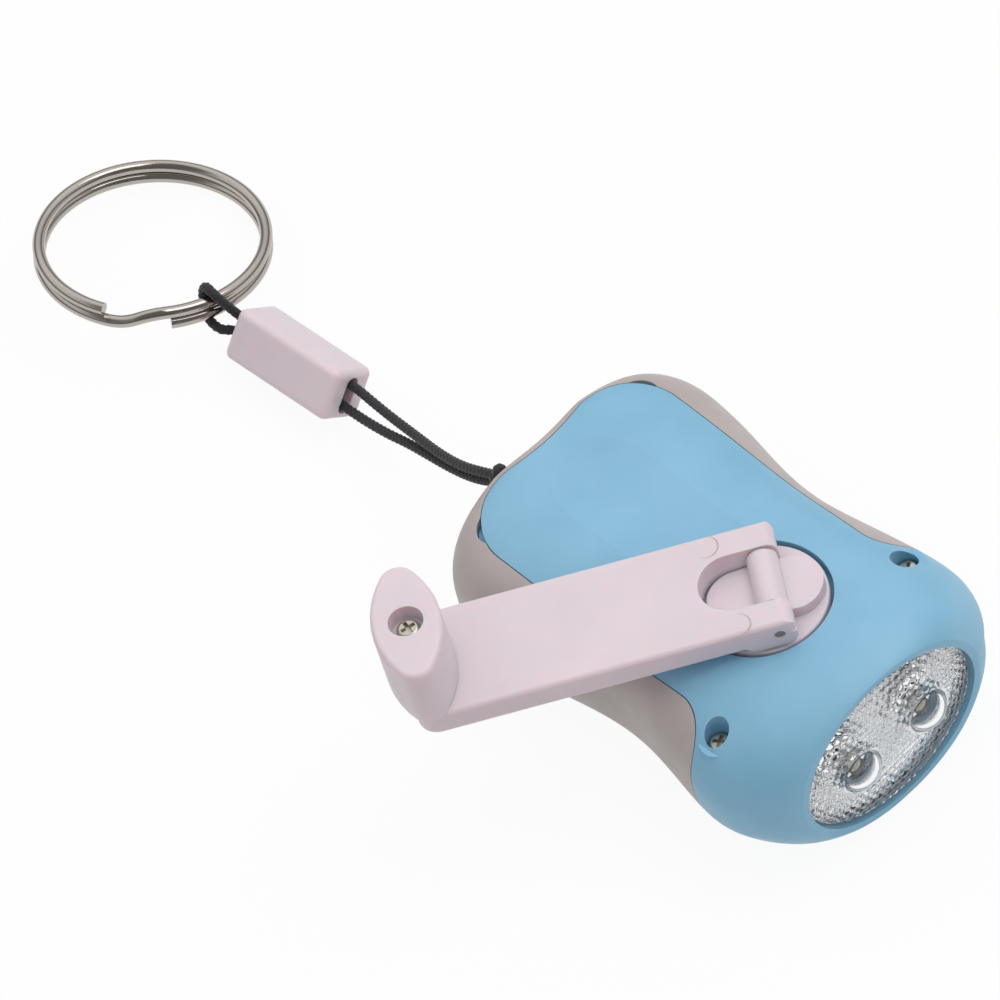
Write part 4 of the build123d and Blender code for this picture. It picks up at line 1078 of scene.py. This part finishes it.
# ------------------------------------------------------------------ studio
@dataclass
class Studio:
    """Pale floor, soft light and the camera at the photograph's angle.

    Attributes:
        aim: the hub's face, in millimetres, which the camera's place is measured from.
        aim_pixel: where that point stands in a frame of 1000 by 1000.
        right: the frame's right in the object's axes.
        up: the frame's up.
        toward: the direction from the object to the camera.
        distance: camera distance in millimetres.
        pixels_per_mm: scale of the picture at the aim.
        frame_pixels: side of the frame.
        sensor_mm: width of the camera's sensor.
        key_power: power of the key light, in watts.
        key_place: where the key light hangs, in metres.
        key_size: its side, in metres.
        key_aim: the point it faces, in metres.
        wall_light: level of the surroundings low down.
        roof_light: level overhead.
        wall_top: height of a direction up to which it meets the wall.
        roof_edge: height from which it meets the roof.
        window_side: direction in which the surroundings are brighter.
        window_reach: reach of that direction's effect.
        window_levels: share of the light away from the window and towards it.
        metal_share: share of the white background that reflections show.
        dark_side: share of the light that the camera's side of the room lacks in reflections.
        dark_edges: where that dark side starts and where it is full.
        floor_half: half the floor's side, in millimetres.
        floor_white: share of plain white in what camera, glass and metal see of the floor.
        mottle_mm: width of the floor's faint patches.
    """

    aim: tuple[float, float, float] = (0.0, 0.0, 25.2)
    aim_pixel: tuple[float, float] = (764.2, 598.7)
    right: tuple[float, float, float] = (0.68779271, 0.70162912, -0.18616594)
    up: tuple[float, float, float] = (-0.50304676, 0.64558655, 0.57459722)
    toward: tuple[float, float, float] = (0.52334037, -0.30155361, 0.79698198)
    distance: float = 2000.0
    pixels_per_mm: float = 8.3
    frame_pixels: float = 1000.0
    sensor_mm: float = 36.0
    key_power: float = 2.6
    key_place: tuple[float, float, float] = (0.15, 0.35, 0.9)
    key_size: float = 0.6
    key_aim: tuple[float, float, float] = (-0.03, 0.0, 0.01)
    wall_light: float = 0.1
    roof_light: float = 0.98
    wall_top: float = 0.12
    roof_edge: float = 0.62
    window_side: tuple[float, float, float] = (-0.6, 0.7, 0.0)
    window_reach: float = 0.7
    window_levels: tuple[float, float] = (0.7, 1.15)
    metal_share: float = 0.12
    dark_side: float = 0.88
    dark_edges: tuple[float, float] = (0.45, 0.8)
    floor_half: float = 900.0
    floor_white: float = 0.93
    mottle_mm: float = 60.0

    def camera(self) -> None:
        """Place the camera, without shift or depth of field."""
        right, up, toward = Vector(self.right), Vector(self.up), Vector(self.toward)
        place = Vector(self.aim) + toward * self.distance
        aside = (self.frame_pixels / 2 - self.aim_pixel[0]) / self.pixels_per_mm
        above = (self.aim_pixel[1] - self.frame_pixels / 2) / self.pixels_per_mm
        look = (right * aside + up * above - toward * self.distance).normalized()
        back = -look
        level = (up - back * up.dot(back)).normalized()
        turn = Matrix((level.cross(back), level, back)).transposed().to_4x4()
        data = bpy.data.cameras.new("camera")
        data.sensor_width = self.sensor_mm
        data.sensor_fit = "HORIZONTAL"
        data.lens = self.pixels_per_mm * self.distance * self.sensor_mm / self.frame_pixels
        data.clip_start = 0.1
        data.clip_end = 20.0
        made = bpy.data.objects.new("camera", data)
        made.matrix_world = Matrix.Translation(place * MM) @ turn
        bpy.context.scene.collection.objects.link(made)
        bpy.context.scene.camera = made

    def white_to(self, tree: bpy.types.NodeTree, metal: float) -> bpy.types.NodeSocket:
        """Tell the rays that see the white background: from the camera, through glass and off metal.

        Args:
            tree: the node tree.
            metal: share of the white that reflections show.

        Returns:
            The socket with the share of white.
        """
        path = add(tree, "ShaderNodeLightPath").outputs
        shown = add(tree, "ShaderNodeMath", {0: path["Is Glossy Ray"], 1: metal}, operation="MULTIPLY")
        through = add(
            tree, "ShaderNodeMath", {0: path["Is Transmission Ray"], 1: shown.outputs[0]}, operation="MAXIMUM"
        )
        return add(
            tree, "ShaderNodeMath", {0: path["Is Camera Ray"], 1: through.outputs[0]}, operation="MAXIMUM"
        ).outputs[0]

    def floor(self) -> None:
        """Lay a pale floor that the camera sees as near white, with the object's soft shadow on it."""
        half = self.floor_half
        corners = [(-half, -half, 0), (half, -half, 0), (half, half, 0), (-half, half, 0)]
        floor = mesh_object("floor", corners, [(0, 1, 2, 3)])
        material = bpy.data.materials.new("pale_floor")
        material.use_nodes = True
        tree = material.node_tree
        tree.nodes.clear()
        place = add(tree, "ShaderNodeTexCoord").outputs["Object"]
        mottle = add(tree, "ShaderNodeTexNoise", {"Vector": place, "Scale": per_metre(self.mottle_mm)})
        tint = add(
            tree, "ShaderNodeMix",
            {MIX_SHARE: mottle.outputs[0], MIX_FIRST: linear("#f2f2f2"), MIX_SECOND: linear("#eeeeee")},
            data_type="RGBA",
        )
        paper = add(tree, "ShaderNodeBsdfDiffuse", {"Color": tint.outputs[MIX_RESULT]})
        glow = add(tree, "ShaderNodeEmission", {"Color": linear("#ffffff"), "Strength": 1.0})
        white = self.white_to(tree, 1.0)
        seen = add(tree, "ShaderNodeMath", {0: white, 1: self.floor_white}, operation="MULTIPLY")
        mix = add(tree, "ShaderNodeMixShader", {0: seen.outputs[0], 1: paper.outputs[0], 2: glow.outputs[0]})
        add(tree, "ShaderNodeOutputMaterial", {"Surface": mix.outputs[0]})
        floor.data.materials.append(material)

    def sky(self) -> None:
        """Light the scene from all round: wide and soft above, darker low down, and white to the camera."""
        world = bpy.data.worlds.new("studio")
        bpy.context.scene.world = world
        world.use_nodes = True
        tree = world.node_tree
        tree.nodes.clear()
        direction = add(tree, "ShaderNodeTexCoord").outputs["Generated"]
        height = add(tree, "ShaderNodeSeparateXYZ", {0: direction}).outputs[2]
        level = add(
            tree, "ShaderNodeMapRange",
            {
                "Value": height,
                "From Min": self.wall_top,
                "From Max": self.roof_edge,
                "To Min": self.wall_light,
                "To Max": self.roof_light,
            },
            interpolation_type="SMOOTHSTEP",
        )
        aside = add(
            tree, "ShaderNodeVectorMath", {0: direction, 1: self.window_side}, operation="DOT_PRODUCT"
        )
        share = add(
            tree, "ShaderNodeMapRange",
            {
                "Value": aside.outputs["Value"],
                "From Min": -self.window_reach,
                "From Max": self.window_reach,
                "To Min": self.window_levels[0],
                "To Max": self.window_levels[1],
            },
        )
        both = add(tree, "ShaderNodeMath", {0: level.outputs[0], 1: share.outputs[0]}, operation="MULTIPLY")
        facing = add(tree, "ShaderNodeVectorMath", {0: direction, 1: self.toward}, operation="DOT_PRODUCT")
        shade = add(
            tree, "ShaderNodeMapRange",
            {
                "Value": facing.outputs["Value"],
                "From Min": self.dark_edges[0],
                "From Max": self.dark_edges[1],
                "To Min": 0.0,
                "To Max": self.dark_side,
            },
            interpolation_type="SMOOTHSTEP",
        )
        mirrored = add(tree, "ShaderNodeLightPath").outputs["Is Glossy Ray"]
        lost = add(tree, "ShaderNodeMath", {0: shade.outputs[0], 1: mirrored}, operation="MULTIPLY")
        kept = add(tree, "ShaderNodeMath", {0: 1.0, 1: lost.outputs[0]}, operation="SUBTRACT")
        strength = add(tree, "ShaderNodeMath", {0: both.outputs[0], 1: kept.outputs[0]}, operation="MULTIPLY")
        room = add(
            tree, "ShaderNodeBackground", {"Color": linear("#ffffff"), "Strength": strength.outputs[0]}
        )
        white = add(tree, "ShaderNodeBackground", {"Color": linear("#ffffff"), "Strength": 1.0})
        seen = self.white_to(tree, self.metal_share)
        mix = add(tree, "ShaderNodeMixShader", {0: seen, 1: room.outputs[0], 2: white.outputs[0]})
        add(tree, "ShaderNodeOutputWorld", {"Surface": mix.outputs[0]})

    def key_light(self) -> None:
        """Hang the square soft light that faces the body."""
        data = bpy.data.lights.new("key", "AREA")
        data.size = self.key_size
        data.energy = self.key_power
        made = bpy.data.objects.new("key", data)
        place = Vector(self.key_place)
        turn = (Vector(self.key_aim) - place).to_track_quat("-Z", "Y").to_matrix().to_4x4()
        made.matrix_world = Matrix.Translation(place) @ turn
        bpy.context.scene.collection.objects.link(made)

    def build(self) -> None:
        """Set up the whole studio."""
        self.camera()
        self.floor()
        self.sky()
        self.key_light()
        bpy.context.scene.view_settings.view_transform = "Standard"


def main() -> None:
    """Load the frame and build each sub-assembly."""
    logging.basicConfig(level=logging.INFO, format="%(name)s: %(message)s")
    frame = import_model()
    Studio().build()
    for part in (Lanyard(frame), Housing(frame), LampHead(frame), Crank(frame), Works(frame)):
        part.build()
        LOG.info("built %s", type(part).__name__)


if __name__ == "__main__":
    main()
